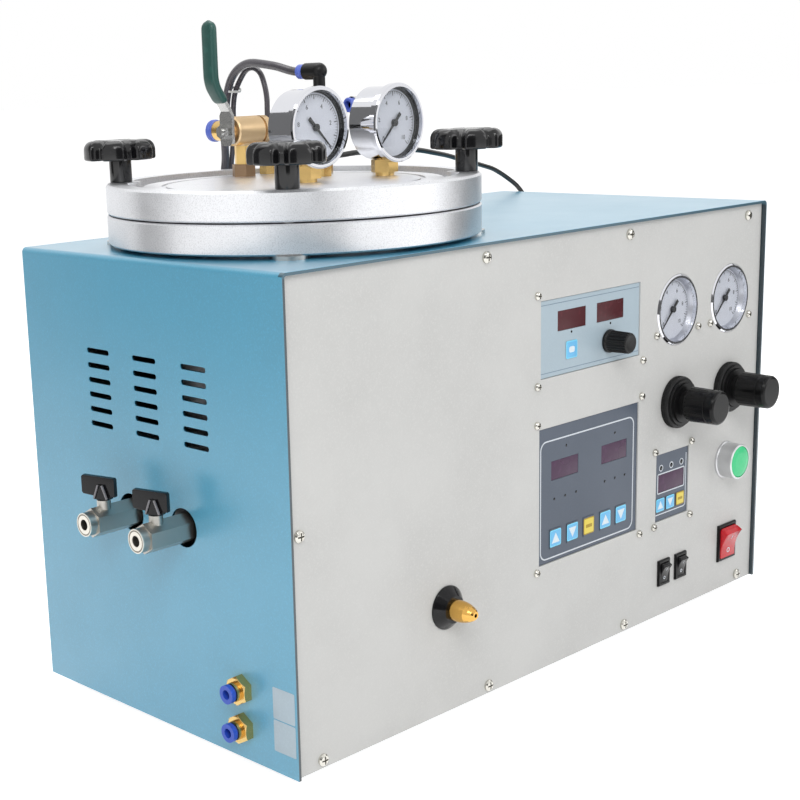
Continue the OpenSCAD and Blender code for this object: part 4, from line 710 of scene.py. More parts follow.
# Routes of the cords and the place of the tubes' tie, in millimetres
TUBE_A = np.array([
    [-83.5, 29, 428], [-83.5, 37, 428], [-83.4, 44, 428.8], [-83.1, 51, 430.3], [-82.7, 59.5, 432.2],
    [-82.3, 68.5, 433.6], [-81.8, 77.5, 434.7], [-81.2, 86.5, 435.5], [-80.6, 94.5, 435.1],
    [-79.9, 102, 433], [-79.2, 109, 429.3], [-78.3, 115.5, 423.3], [-77.3, 120.3, 415.5],
    [-76.2, 124.1, 406], [-74.8, 127.5, 395], [-73, 131, 382], [-68, 137, 365], [-67, 142, 348],
    [-66, 147, 331], [-66, 152, 315], [-66, 155, 300],
    [-66, 153, 289], [-66, 148, 281], [-66, 140, 276], [-66, 131, 274], [-66, 125, 274],
])
TUBE_B = np.array([
    [-75, 80, 381], [-75, 80, 392], [-75, 80, 402], [-75, 80, 411], [-75, 82, 420], [-74, 87, 428],
    [-73, 95, 432], [-72, 104, 431], [-71, 112, 425], [-71, 119, 415], [-69, 124, 404], [-66, 128, 391],
    [-64, 132, 377], [-62, 137, 362], [-60, 142, 346], [-60, 147, 330], [-60, 152, 315], [-60, 155, 300],
    [-60, 153, 289], [-60, 148, 281], [-60, 140, 276], [-60, 131, 274], [-60, 125, 274],
])
CABLE = np.array([
    [-56, 32, 369], [-46, 32, 369], [-32, 34, 369.5], [0, 42, 369], [30, 49, 368], [62, 58, 366],
    [92, 67, 362], [120, 77, 358], [148, 87, 353], [172, 95, 349], [195, 103, 345], [215, 109, 341],
    [232, 114, 336], [247, 117, 330], [260, 118, 323], [270, 118, 314], [277, 117, 304], [280, 115, 294],
    [280, 114, 286], [278.6, 113.4, 279.1], [274.7, 112.8, 273.3], [268.9, 112.3, 269.4], [262, 112, 268],
    [252, 112, 268],
])
TIE_NEAR = np.array([-74.0, 118.0, 417.0])


def cord(name, node, points, diameter, across, finish):
    """A flexible line: a circle swept along a smooth curve through its route, from case to lid."""
    route = smooth_route(points)
    obj = Skin().loft(tube_rings(route, diameter / 2, across)).make(name, finish, None, 60.0, node)
    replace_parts(obj, node)
    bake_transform(obj)


class INJECTOR_OT_cords(bpy.types.Operator):
    """Lay the two air tubes with their tie, and the probe's cable"""

    bl_idname = "injector.cords"
    bl_label = "Cords"

    def execute(self, context):
        tube = moulding("Air tube", srgb(84, 81, 87), 0.16, 1.8, 0.01, 1.25)
        lead = moulding("Cable sheath", srgb(18, 18, 19), 0.36, 0.8, 0.01, 1.4)
        nylon = moulding("Tie nylon", srgb(226, 228, 226), 0.4, 0.7, 0.01, 1.05)
        cord("air_tube", "tube_a", TUBE_A, 6.0, (1, 0, 0), tube)
        cord("vacuum_tube", "tube_b", TUBE_B, 4.0, (1, 0, 0), tube)
        cord("probe_cable", "cable", CABLE, 4.0, (0, 1, 0), lead)
        self.tie(context, nylon)
        dress(FINISH["black"], "cable_gland")
        return {"FINISHED"}

    def tie(self, context, nylon):
        """A thin strap round both tubes: an oblong band across their way, with a small head."""
        a, b = (smooth_route(t) for t in (TUBE_A, TUBE_B))
        i, j = (int(np.argmin(np.linalg.norm(r - TIE_NEAR, axis=1))) for r in (a, b))
        way = a[i + 1] - a[i - 1]
        at = spot((a[i] * 2 + b[j] * 3) / 5, way, b[j] - a[i])
        apart = float((b[j] - a[i]) @ at[1][:, 1])
        half = context.scene.injector_sizes.tie / MM / 2
        inner = rounded(6.2, apart + 5.2, 3.05)
        outer = inner - inward(inner) * 0.6
        shift = (0.0, 0.1 * apart - 0.5)
        skin = Skin().hoop(band(outer, inner, -half, half, at, shift))
        head = spot(place([3.2, shift[1], 0.0], at), at[1][:, 0], at[1][:, 1])
        skin.loft(plate(rounded(half * 2 + 0.9, 2.8, 0.5), -0.4, 1.6, 0.4, head))
        obj = skin.make("tube_tie", nylon, None)
        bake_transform(obj)


# Case

EDGE_HEAD_D = 7.8
SMALL_HEAD_D = 5.6
GAUGE_SCREW_R = 31.8
RECESS_SHARE = 0.66
RECESS_W = 0.98
RECESS_SPAN = (1.42, 1.6)
STICKER_SPAN = (-0.05, 0.22)
STICKER = rounded(19.2, 20.4, 1.0)


class INJECTOR_OT_case(bpy.types.Operator):
    """Paint the sheet case and the front panel, and dress the screws, the feet and what is inside"""

    bl_idname = "injector.case"
    bl_label = "Case"

    def execute(self, context):
        dress(FINISH["enamel"], "cover")
        dress(FINISH["side_enamel"], "side_left", "side_right")
        dress(FINISH["panel"], "front_panel")
        dress(FINISH["steel"], "chassis", "air_manifold")
        dress(FINISH["rubber"], "feet")
        dress(metal("Screw nickel", srgb(216, 214, 206), 0.2, 0.6, 0.02, 0.84), "panel_screws")
        self.recesses()
        sticker = paint("Bare sticker", srgb(186, 202, 212), 0.34, 1.6, 0.01, 1.04)
        at = spot((LEFT_WALL, -118.7, 45.0), (-1, 0, 0), (0, 0, 1))
        skin = Skin()
        for up in (10.6, -10.6):
            skin.loft(plate(STICKER, *STICKER_SPAN, 0.08, at, (0, up)))
        skin.make("port_stickers", sticker, "case")
        return {"FINISHED"}

    def recesses(self):
        """The shaded floors of the screws' cross recesses: two thin bars at each screw."""
        edge = [(x, 308.0) for x in (-79, 79, 237)]
        edge += [(x, 15.8) for x in (-237, -79, 79, 237)] + [(-251, 162.0)]
        films = ((UPPER_FILM, 124, 62), (LOWER_FILM, 123.6, 105.4), (SMALL_FILM, 49, 58.4))
        small = [
            (film[0] + sx * w / 2, film[1] + sz * h / 2)
            for film, w, h in films
            for sx in (-1, 1) for sz in (-1, 1) if (film, sx, sz) != (UPPER_FILM, 1, 1)
        ]
        turns = np.radians([210.0, 330.0])
        circle = GAUGE_SCREW_R * np.stack([np.cos(turns), np.sin(turns)], -1)
        small += [(x + dx, GAUGE_Z + dz) for x in RIGHT_COLUMNS for dx, dz in circle]
        skin = Skin()
        for spots, head in ((edge, EDGE_HEAD_D), (small, SMALL_HEAD_D)):
            centres = np.repeat(np.array(spots, float), 2, 0)
            angles = np.tile([0.0, np.pi / 2], len(spots))
            skin.add(*bars(centres, angles, head * RECESS_SHARE, RECESS_W, *RECESS_SPAN, panel_spot(0, 0)))
        skin.make("screw_recesses", print_ink("Recess shade", srgb(92, 88, 80), 0.6), "case", 30.0)


# Pot, lid and its star knobs

KNOB_R = 24.0
KNOB_TOP = 387.5
KNOB_BAND_Z = 376.0
LOWER_EDGE = 1.5
UPPER_EDGE = 6.0
NOTCH_DEPTH = 5.5
NOTCH_EDGE = 2.4
TROUGH_DEPTH = 3.6
TROUGH_IN = 11.5
TROUGH_RUN = 6.5
KNOB_SHANK = np.array([(7.2, 359.6), (7.5, 360.0), (7.5, 373.9), (8.2, 374.4), (10.0, 374.5)])
KNOB_FACE = np.array([
    (16.0, KNOB_TOP), (14.5, KNOB_TOP), (13.0, KNOB_TOP), (11.8, KNOB_TOP), (11.0, 387.3), (2.0, 387.2),
])


def star_rings(centre, turn):
    """Rings of a star knob: circles up the shank, then an outline whose radius falls in six narrow notches
    by a smooth step of the angle from the nearest one, drawn in along a round lower and a wide upper edge;
    troughs run in from the notches and fade out before the flat middle."""
    a = np.linspace(0, 2 * np.pi, 288, endpoint=False)
    off = np.abs((a + np.pi / 6) % (np.pi / 3) - np.pi / 6)
    notch = smooth_step((0.24 - off) / 0.17)
    trough = smooth_step((0.34 - off) / 0.30)
    wide = KNOB_R - NOTCH_DEPTH * notch
    low = np.linspace(-np.pi / 2, 0, 5)[:, None]
    up = np.linspace(0, np.pi / 2, 10)[:, None]
    shank, face = KNOB_SHANK[:, :, None], KNOB_FACE[:, :, None]
    edge = UPPER_EDGE - NOTCH_EDGE * notch
    r = np.vstack([
        np.broadcast_to(shank[:, 0], (len(shank), len(a))), wide - LOWER_EDGE * (1 - np.cos(low)),
        wide - edge * (1 - np.cos(up)), np.minimum(face[:, 0], wide - edge - 0.1),
    ])
    level = np.vstack([shank[:, 1], KNOB_BAND_Z + LOWER_EDGE * np.sin(low)])
    z = np.vstack([
        np.broadcast_to(level, (len(level), len(a))), KNOB_TOP - edge * (1 - np.sin(up)),
        np.broadcast_to(face[:, 1], (len(face), len(a))),
    ])
    sunk = TROUGH_DEPTH * trough * smooth_step((r - TROUGH_IN) / TROUGH_RUN)
    z = z - np.where(z > KNOB_BAND_Z + 1.0, sunk, 0.0)
    return np.stack([centre[0] + r * np.cos(a + turn), centre[1] + r * np.sin(a + turn), z], -1)


class INJECTOR_OT_pot(bpy.types.Operator):
    """Finish the pot, its lid and studs, and shape the four star knobs"""

    bl_idname = "injector.pot"
    bl_label = "Pot and lid"

    def execute(self, context):
        dress(FINISH["lid"], "lid")
        dress(FINISH["pot"], "pot")
        dress(FINISH["zinc"], "lid_studs")
        dress(FINISH["rubber"], "lid_seal")
        for tag, sx, sy, turn in (("fl", -1, -1, 38), ("fr", 1, -1, 26), ("bl", -1, 1, 12), ("br", 1, 1, 0)):
            node = "star_knob_" + tag
            rings = star_rings((POT_X + sx * STUD_XY, sy * STUD_XY), math.radians(turn))
            obj = Skin().loft(rings).make("star_" + tag, FINISH["lacquer"], node, 50.0, node)
            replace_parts(obj, node)
        return {"FINISHED"}


# Gauges

# Side, middle of the front, way out, and the angles of the first and last mark in degrees
LID_GAUGES = (
    ("left", (-131.0, -33.0, 392.0), (0.0, -1.0, 0.0), -45.0, 225.0),
    ("right", (-60.741, -37.48, 392.0), (0.0523, -0.9986, 0.0), 225.0, -45.0),
)
PANEL_GAUGES = (
    ("left", (RIGHT_COLUMNS[0], -128.0, GAUGE_Z), (0.0, -1.0, 0.0), 225.0, -45.0),
    ("right", (RIGHT_COLUMNS[1], -128.0, GAUGE_Z), (0.0, -1.0, 0.0), 225.0, -45.0),
)
DIAL_BACK = 6.2
TICK_R = 21.0
ARC_R = 21.05
FIGURE_R = 14.6
LINING = [(22.5, -6.15), (24.05, -2.95), (23.85, -2.85), (22.3, -6.15)]


def dial_print(name, at, body, first, last, sizes):
    """Ticks and figures of a dial: fifty even steps from the first angle to the last, long at every fifth,
    an arc line under them, and a figure from 0 to 10 at every tenth."""
    step = np.arange(51)
    angle = np.radians(first + (last - first) * step / 50)
    long = step % 5 == 0
    length = np.where(long, sizes.tick / MM, sizes.tick / MM * 0.55)
    middle = TICK_R - length / 2
    centres = np.stack([middle * np.cos(angle), middle * np.sin(angle)], -1)
    low, high = -DIAL_BACK - 0.02, -DIAL_BACK + sizes.print_height / MM
    skin = Skin()
    skin.add(*bars(centres, angle, length, np.where(long, 0.5, 0.26), low, high, at))
    arc = np.radians(np.linspace(first, last, 73))
    skin.loft(stroke(ARC_R * np.stack([np.cos(arc), np.sin(arc)], -1), 0.25, low, high, at))
    skin.make(name + "_ticks", FINISH["ink"], body, 30.0)
    tenths = range(0, 51, 10)
    marks = [(str(n // 5), FIGURE_R * math.cos(angle[n]), FIGURE_R * math.sin(angle[n])) for n in tenths]
    numerals(name + "_figures", marks, sizes.figure / MM, at, FINISH["ink"], body, low, high - low)


class INJECTOR_OT_gauges(bpy.types.Operator):
    """Finish the four gauges: cases, printed dials, linings, glass and needles"""

    bl_idname = "injector.gauges"
    bl_label = "Gauges"

    def execute(self, context):
        sizes = context.scene.injector_sizes
        silver = metal("Lining silver", srgb(196, 198, 206), 0.3, 0.7, 0.01, 0.92)
        dress(FINISH["chrome"], "lid_gauge_cases", "panel_gauge_cases")
        dress(FINISH["dial"], "lid_gauge_dials", "panel_gauge_dials")
        dress(FINISH["glass"], "lid_gauge_lenses", "panel_gauge_lenses")
        dress(FINISH["ink"], "lid_needle_l", "lid_needle_r", "panel_needle_l", "panel_needle_r")
        # The lid gauges' linings are gloss black, partly a dark inner ring and partly painted shade inside
        # the bezels; the panel gauges' are silver
        for group, body, lining in ((LID_GAUGES, "lid", FINISH["gloss"]), (PANEL_GAUGES, "case", silver)):
            for side, front, out, first, last in group:
                name = ("lid" if body == "lid" else "panel") + "_gauge_" + side
                at = spot(front, out, (0, 0, 1))
                dial_print(name, at, body, first, last, sizes)
                Skin().hoop(revolved(LINING, at)).make(name + "_lining", lining, body)
        return {"FINISHED"}


# Vent valve and lid ports

def lever_sleeve_rings(origin, path, width, thick):
    """A dipped sleeve: a flat rounded section carried along a bent path in the lever's plane, its width
    closing to a round tip like the edge of an ellipse."""
    p = smooth_route(np.column_stack([path, np.zeros(len(path))]), 6)[:, :2]
    run = np.concatenate([[0], np.cumsum(np.linalg.norm(np.diff(p, axis=0), axis=1))])
    rest = np.clip((run[-1] - run) / (width * 0.5), 0, 1)
    wide = np.sqrt(np.clip(1 - (1 - rest) ** 2, 0.004, 1))
    deep = np.clip(1 - (1 - rest) ** 4, 0.25, 1)
    start = np.clip(run / 2.5, 0, 1)
    wide, deep = wide * (0.9 + 0.1 * start), deep * (0.78 + 0.22 * start)
    way = np.gradient(p, axis=0)
    way /= np.linalg.norm(way, axis=1, keepdims=True)
    side = np.stack([way[:, 1], -way[:, 0]], -1)
    section = rounded(width, thick, thick * 0.47)
    y = section[None, :, 0] * wide[:, None]
    off = section[None, :, 1] * deep[:, None]
    u = p[:, None, 0] + off * side[:, None, 0]
    z = p[:, None, 1] + off * side[:, None, 1]
    return np.stack([origin[0] - u, origin[1] + y, origin[2] + z], -1)


LEVER_STEM = (-115.367, 77.0, 388.5)
SLEEVE_W = 13.0
SLEEVE_T = 5.7
SLEEVE_PATH = [
    (5.9, 21.0), (9.3, 25.9), (12.3, 30.6), (13.9, 36), (14.25, 42), (14.25, 54), (14.25, 66), (14.25, 76.3),
]


class INJECTOR_OT_lid_ports(bpy.types.Operator):
    """Finish the vent valve with its lever, the elbows, the fittings and the probe on the lid"""

    bl_idname = "injector.lid_ports"
    bl_label = "Lid ports"

    def execute(self, context):
        dress(valve_brass(), "vent_valve_body")
        dress(FINISH["brass"], "brass_fittings")
        dress(FINISH["zinc"], "vent_lever")
        dress(FINISH["black"], "air_elbow")
        dress(FINISH["bright"], "vacuum_elbow", "temperature_probe")
        dress(moulding("Violet collar moulding", srgb(96, 118, 214), 0.3, 0.7, 0.01, 1.2), "lid_collars")
        dip = moulding("Sleeve dip", context.scene.injector_colours.sleeve[:], 0.3, 2.4, 0.05, 1.25)
        rings = lever_sleeve_rings(LEVER_STEM, SLEEVE_PATH, SLEEVE_W, SLEEVE_T)
        obj = Skin().loft(rings).make("lever_grip", dip, "lever", 50.0, "lever_sleeve")
        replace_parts(obj, "lever_sleeve")
        return {"FINISHED"}


# Left side

# Side views of a handle's flag and hub, as distance from the stem and height over the valve's axis
FLAG = np.array([
    [-15, 18.0], [-14, 16.8], [-6.5, 15.9], [-5.5, 14.4], [5.5, 14.4], [6.5, 15.9], [9.5, 15.9], [9.5, 27.2],
    [8.5, 28.2], [-14, 29.2], [-15, 28.2],
])
HUB = np.array([[-5.5, 13.9], [5.5, 13.9], [2.2, 23.8], [-2.2, 23.8]])
HANDLE_TURN = math.radians(-68.0)
FLAG_HALF = 2.1
HUB_HALF = 3.4


class INJECTOR_OT_left_side(bpy.types.Operator):
    """Finish the two ball valves with ribbed handles and the two push-in ports"""

    bl_idname = "injector.left_side"
    bl_label = "Left side"

    def execute(self, context):
        dress(valve_nickel(), "side_valves")
        dress(FINISH["brass"], "side_fittings")
        dress(FINISH["collar"], "side_collar_u", "side_collar_l")
        for tag, y in VALVE_Y.items():
            self.handle("side_handle_" + tag, y)
        return {"FINISHED"}

    def handle(self, node, y):
        """A flag handle turned about its stem: its side view with rounded edges carried across, a tapered
        hub on each side, and two ribs that part downwards from the hub's top, in a paler grey as painted
        highlight."""
        skin, ribs = Skin(), Skin()
        t = np.linspace(0, 1, 5)
        for out in (-1.0, 1.0):
            way = (-out * math.sin(HANDLE_TURN), out * math.cos(HANDLE_TURN), 0)
            at = spot((VALVE_STEM_X, y, VALVE_Z), way, (0, 0, 1))
            flag, hub = (o * [-out, 1.0] if out < 0 else (o * [-out, 1.0])[::-1] for o in (FLAG, HUB))
            skin.loft(plate(flag, 0.0, FLAG_HALF, 0.5, at))
            skin.loft(plate(hub, 0.0, HUB_HALF, 0.4, at))
            for lean in (-1.0, 1.0):
                rib = np.stack([lean * (1.5 + 3.2 * t), 23.6 - 8.8 * t], -1)
                ribs.loft(stroke(rib, 1.0, HUB_HALF - 0.2, HUB_HALF + 1.1, at))
        obj = skin.make(node.replace("side", "valve"), FINISH["gloss"], node, 30.0, node)
        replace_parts(obj, node)
        # Painted highlight: the ribs get the paler grey that stands for their glints
        ribs.make(node + "_ribs", FINISH["rubbed"], node, 30.0)


# Displays

ARROW_UP = np.array([[-0.36, -0.28], [0.36, -0.28], [0.0, 0.32]])
ARROW_DOWN = -ARROW_UP
WIDE_KEY = (12.6, 12.2)
SMALL_KEY = (10.8, 10.2)
SUNK = -0.02

# Heights over the film's face from which and up to which a plate goes
WINDOW_SPAN = (-0.58, -0.12)
BORDER_SPAN = (0.4, 0.56)
FIELD_SPAN = (0.5, 0.62)
WINDOW_GAP = 0.3
BORDER_W = 0.8


class INJECTOR_OT_displays(bpy.types.Operator):
    """Print the three display films: windows, keys, frame lines and lamp dots"""

    bl_idname = "injector.displays"
    bl_label = "Displays"

    def execute(self, context):
        tone = context.scene.injector_colours
        self.ink = context.scene.injector_sizes.print_height / MM
        self.line = context.scene.injector_sizes.line / MM
        self.border = moulding("Key border", scaled(tone.key_blue[:], 1.35), 0.36, 0.8, 0.006, 1.05)
        self.yellow = moulding("Yellow key field", tone.key_yellow[:], 0.34, 0.8, 0.006, 1.06)
        self.mark = print_ink("Key mark", srgb(232, 244, 252))
        self.amber = print_ink("Key bar", srgb(182, 152, 42))
        dress(paint("Pale film", tone.upper_film[:], 0.36, 1.5, 0.008, 1.02), "display_upper")
        slate = paint("Slate film", tone.lower_film[:], 0.36, 1.3, 0.012, 1.08)
        dress(slate, "display_lower", "display_small")
        self.upper()
        self.lower()
        self.small()
        return {"FINISHED"}

    def windows(self, name, at, spots, size, tint):
        """Filter plates set into the film, with rounded edges."""
        skin = Skin()
        for x, y in spots:
            pane = rounded(size[0] - WINDOW_GAP, size[1] - WINDOW_GAP, 0.5)
            skin.loft(plate(pane, *WINDOW_SPAN, 0.15, at, (x, y)))
        skin.make(name, FINISH[tint], "case")

    def keys(self, name, at, spots, size, mark):
        """Key fields on their raised pads: a paler border plate, a field on it, and an arrow or a bar."""
        edge, field, sign = Skin(), Skin(), Skin()
        for x, y in spots:
            edge.loft(plate(rounded(*size, 1.2), *BORDER_SPAN, 0.06, at, (x, y)))
            inner = rounded(size[0] - 2 * BORDER_W, size[1] - 2 * BORDER_W, 0.8)
            field.loft(plate(inner, *FIELD_SPAN, 0.05, at, (x, y)))
            shape = mark * min(size) if mark is not None else rounded(size[0] * 0.56, size[1] * 0.2, 0.4)
            sign.loft(plate(shape, 0.6, FIELD_SPAN[1] + self.ink, 0.02, at, (x, y)))
        if mark is None:
            looks = (self.amber, self.yellow, self.amber, "_bar")
        else:
            looks = (self.border, FINISH["blue"], self.mark, "_arrow")
        edge.make(name + "_border", looks[0], "case")
        field.make(name, looks[1], "case")
        sign.make(name + looks[3], looks[2], "case")

    def dots(self, name, at, spots, radius):
        """Small lamp domes: a quarter ellipse turned round each spot."""
        t = np.linspace(0, np.pi / 2 * 0.94, 5)
        dome = np.stack([radius * np.cos(t), 0.35 * np.sin(t)], -1)
        skin = Skin()
        for x, y in spots:
            skin.loft(revolved(np.vstack([[radius, -0.1], dome]), (place([x, y, 0], at), at[1]), 20))
        skin.make(name, FINISH["gloss"], "case", 30.0)

    def upper(self):
        """The pale film: two windows, one blue key, two lamps and faint lines near its edges."""
        at = panel_spot(*UPPER_FILM, FILM_FRONT)
        self.windows("upper_windows", at, ((-22.6, 10.7), (22.2, 10.7)), (32, 14), "red")
        self.keys("upper_key", at, ((-23.1, -10.6),), (12.6, 12.4), rounded(0.5, 0.34, 0.12))
        self.dots("upper_lamps", at, ((-22.9, 1.6), (22.6, 1.5)), 0.9)
        grey = print_ink("Grey ink", srgb(128, 148, 166))
        skin = Skin()
        for y in (-23.4, 23.4):
            skin.loft(stroke([[-57, y], [0, y], [57, y]], 0.5, SUNK, self.ink, at))
        skin.make("upper_lines", grey, "case")

    def lower(self):
        """The large slate film: two windows, five keys, eight lamps and a rounded frame line."""
        at = panel_spot(*LOWER_FILM, FILM_FRONT)
        self.windows("lower_windows", at, ((-28.8, 17.0), (29.9, 17.0)), (31, 13.8), "plum")
        self.keys("lower_keys_up", at, ((-39.6, -32), (19.5, -32)), WIDE_KEY, ARROW_UP)
        self.keys("lower_keys_down", at, ((-20.0, -32), (38.8, -32)), WIDE_KEY, ARROW_DOWN)
        self.keys("lower_key_set", at, ((-0.5, -32),), WIDE_KEY, None)
        lamps = [(x, -3.6) for x in (-40.6, -28.1, -15.4)] + [(x, -3.2) for x in (18.9, 31.4, 43.6)]
        lamps += [(-27.2, 32.4), (30.6, 30.8)]
        self.dots("lower_lamps", at, lamps, 1.0)
        inner = rounded(111.0 - 2 * self.line, 85.6 - 2 * self.line, 5.5, 8)
        outer = inner - inward(inner) * self.line
        Skin().hoop(band(outer, inner, SUNK, self.ink, at, (-1.2, -3.4))).make(
            "lower_frame_line", FINISH["white_ink"], "case", 30.0
        )

    def small(self):
        """The small slate film: a framed window, three keys, three ringed lamps and an open frame line."""
        at = panel_spot(*SMALL_FILM, FILM_FRONT)
        self.windows("small_window", at, ((-0.6, 2.9),), (34.5, 14), "plum")
        self.keys("small_key_up", at, ((-15.1, -13.7),), SMALL_KEY, ARROW_UP)
        self.keys("small_key_down", at, ((-1.8, -13.7),), SMALL_KEY, ARROW_DOWN)
        self.keys("small_key_set", at, ((11.7, -13.7),), SMALL_KEY, None)
        skin = Skin()
        inner = rounded(34.7, 14.2, 0.6)
        skin.hoop(band(inner - inward(inner) * 0.9, inner, SUNK, self.ink, at, (-0.6, 2.9)))
        a = np.linspace(0, 2 * np.pi, 28, endpoint=False)
        ring = np.stack([np.cos(a), np.sin(a)], -1)
        lamps = ((-14.2, 15.0), (-0.5, 15.0), (13.2, 15.0))
        for x, y in lamps:
            skin.hoop(band(ring * 2.6, ring * 1.9, SUNK, self.ink, at, (x, y)))
        bend = np.linspace(0, -np.pi / 2, 7)
        corner = np.stack([16.9 + 2.6 * np.cos(bend), -18.6 + 2.6 * np.sin(bend)], -1)
        side, foot = [[19.5, 21.0], [19.5, 0.0], [19.5, -12.0]], [[8.0, -21.2], [-8.0, -21.2], [-20.5, -21.2]]
        path = np.vstack([side, corner, foot])
        skin.loft(stroke(path, self.line * 0.8, SUNK, self.ink, at))
        skin.make("small_lines", FINISH["white_ink"], "case", 30.0)
        self.dots("small_lamps", at, lamps, 1.5)


# Controls

def ribbed(profile, at, ribs, depth, per=6):
    """A ribbed turning: a profile of radius and height whose radius falls by depth between the ribs, with
    the share of it given for each point of the profile."""
    p = np.asarray(profile, float)
    a = np.linspace(0, 2 * np.pi, ribs * per, endpoint=False)
    wave = 0.5 - 0.5 * np.cos(ribs * a)
    r = p[:, :1] - depth * p[:, 2:3] * wave
    z = np.broadcast_to(p[:, 1:2], r.shape)
    return place(np.stack([r * np.cos(a), r * np.sin(a), z], -1), at)


# Radius, height and share of the ribs' depth along each profile
NUT_RIM = [(19.2, 0.7, 0), (19.75, 0.9, 1), (19.75, 4.6, 1), (19.2, 4.8, 0)]
TIMER_KNOB = [
    (6.0, -0.38, 0), (8.3, -0.38, 0), (8.4, -0.2, 0), (8.4, 1.2, 0), (8.2, 1.6, 0), (7.8, 2.0, 0.2),
    (7.8, 2.6, 1), (7.5, 16.4, 1), (7.3, 17.2, 0.6), (6.6, 17.85, 0), (6.0, 18.0, 0), (5.2, 17.8, 0),
    (1.0, 17.8, 0),
]


def turned_metal(name, tone, rough, grain_mm, depth_mm, cloud, middle, rings_per_mm):
    """Metal with turning marks round an axis that stands out of the front panel."""
    f = metal(name, tone, rough, grain_mm, depth_mm, cloud)
    axis = (middle[0], PANEL_FRONT, middle[1])
    marks = f.round_axis("turned", axis, (90, 0, 0), Rings_per_mm=rings_per_mm)
    return f.bump(marks.outputs["Height"], 0.3, 0.02)


class INJECTOR_OT_controls(bpy.types.Operator):
    """Finish the timer knob, the regulators, the start button and the nozzle"""

    bl_idname = "injector.controls"
    bl_label = "Controls"

    def execute(self, context):
        tone = context.scene.injector_colours
        self.timer()
        for x, tag in zip(RIGHT_COLUMNS, "lr"):
            rings = ribbed(NUT_RIM, panel_spot(x, REGULATOR_Z), 110, 0.35, 4)
            Skin().hoop(rings).make("nut_knurl_" + tag, FINISH["black"], "case", 60.0)
        dress(FINISH["black"], "regulator_nuts", "regulator_bodies")
        knob = moulding("Knob moulding", srgb(12, 12, 13), 0.22, 0.9, 0.01, 1.6, Specular_IOR_Level=0.22)
        dress(knob, "regulator_knob_l", "regulator_knob_r")
        ring = ("Turned aluminium", srgb(212, 213, 215), 0.36, 0.6, 0.01, 0.94)
        dress(turned_metal(*ring, START_SPOT, 3.0), "start_ring")
        dress(moulding("Button cap", tone.button[:], 0.26, 1.2, 0.01, 1.08), "start_cap")
        dress(FINISH["gloss"], "nozzle_flange")
        tip = ("Turned brass", srgb(230, 180, 96), 0.16, 0.8, 0.008, 0.9)
        dress(turned_metal(*tip, NOZZLE_SPOT, 2.5), "nozzle_tip")
        return {"FINISHED"}

    def timer(self):
        """A fluted knob on a skirt: a ribbed turning with a dished end."""
        skin = Skin().loft(ribbed(TIMER_KNOB, panel_spot(*TIMER_SPOT), 22, 0.75))
        obj = skin.make("timer_grip", FINISH["black"], "timer_knob", 35.0, "timer_knob")
        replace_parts(obj, "timer_knob")


# Node, x and z of the axle, distance of the ends from it, and width
ROCKERS = (
    ("power_rocker", 219.5, 48.0, 12.7, 20.5),
    ("mode_rocker_l", 130.3, 44.2, 7.9, 10.0),
    ("mode_rocker_r", 153.3, 44.2, 7.9, 10.0),
)
ROCKER_RISE = math.radians(29.0)
ROCKER_TILT = math.radians(16.0)
ROCKER_DIP = 0.16
ROCKER_SWEEP = math.radians(34.0)
ROCKER_FOOT = np.array([[3.0, -3.5], [-3.0, -3.5]])
ROCKER_EDGE = 0.6


def rocker_face(along, reach):
    """Height of a rocker's hollow face: a parabola between its two ends."""
    k = along / (reach * math.cos(ROCKER_RISE))
    return reach * math.sin(ROCKER_RISE) - ROCKER_DIP * reach * (1 - k * k)


def rocker_rings(reach, width, at):
    """Rings of a rocker: its side view, made of a hollow face, two end arcs round the axle and a narrow foot,
    carried across with both flanks rounded off."""
    t = ROCKER_RISE - np.linspace(0, ROCKER_SWEEP, 7)
    end = reach * np.stack([np.cos(t), np.sin(t)], -1)
    u = np.linspace(-1, 1, 19)[1:-1] * end[0, 0]
    face = np.stack([u, rocker_face(u, reach)], -1)
    outline = np.vstack([end, ROCKER_FOOT, end[::-1] * [-1, 1], face])[::-1]
    bend = np.linspace(0, np.pi / 2, 5)
    drawn = ROCKER_EDGE * (1 - np.sin(np.concatenate([bend, bend[::-1]])))
    across = width / 2 - ROCKER_EDGE * (1 - np.cos(bend))
    across = np.concatenate([-across, across[::-1]])
    side = outline[None] + inward(outline)[None] * drawn[:, None, None]
    x = np.broadcast_to(across[:, None], side.shape[:2])
    return place(np.stack([x, side[..., 0], side[..., 1]], -1), at)


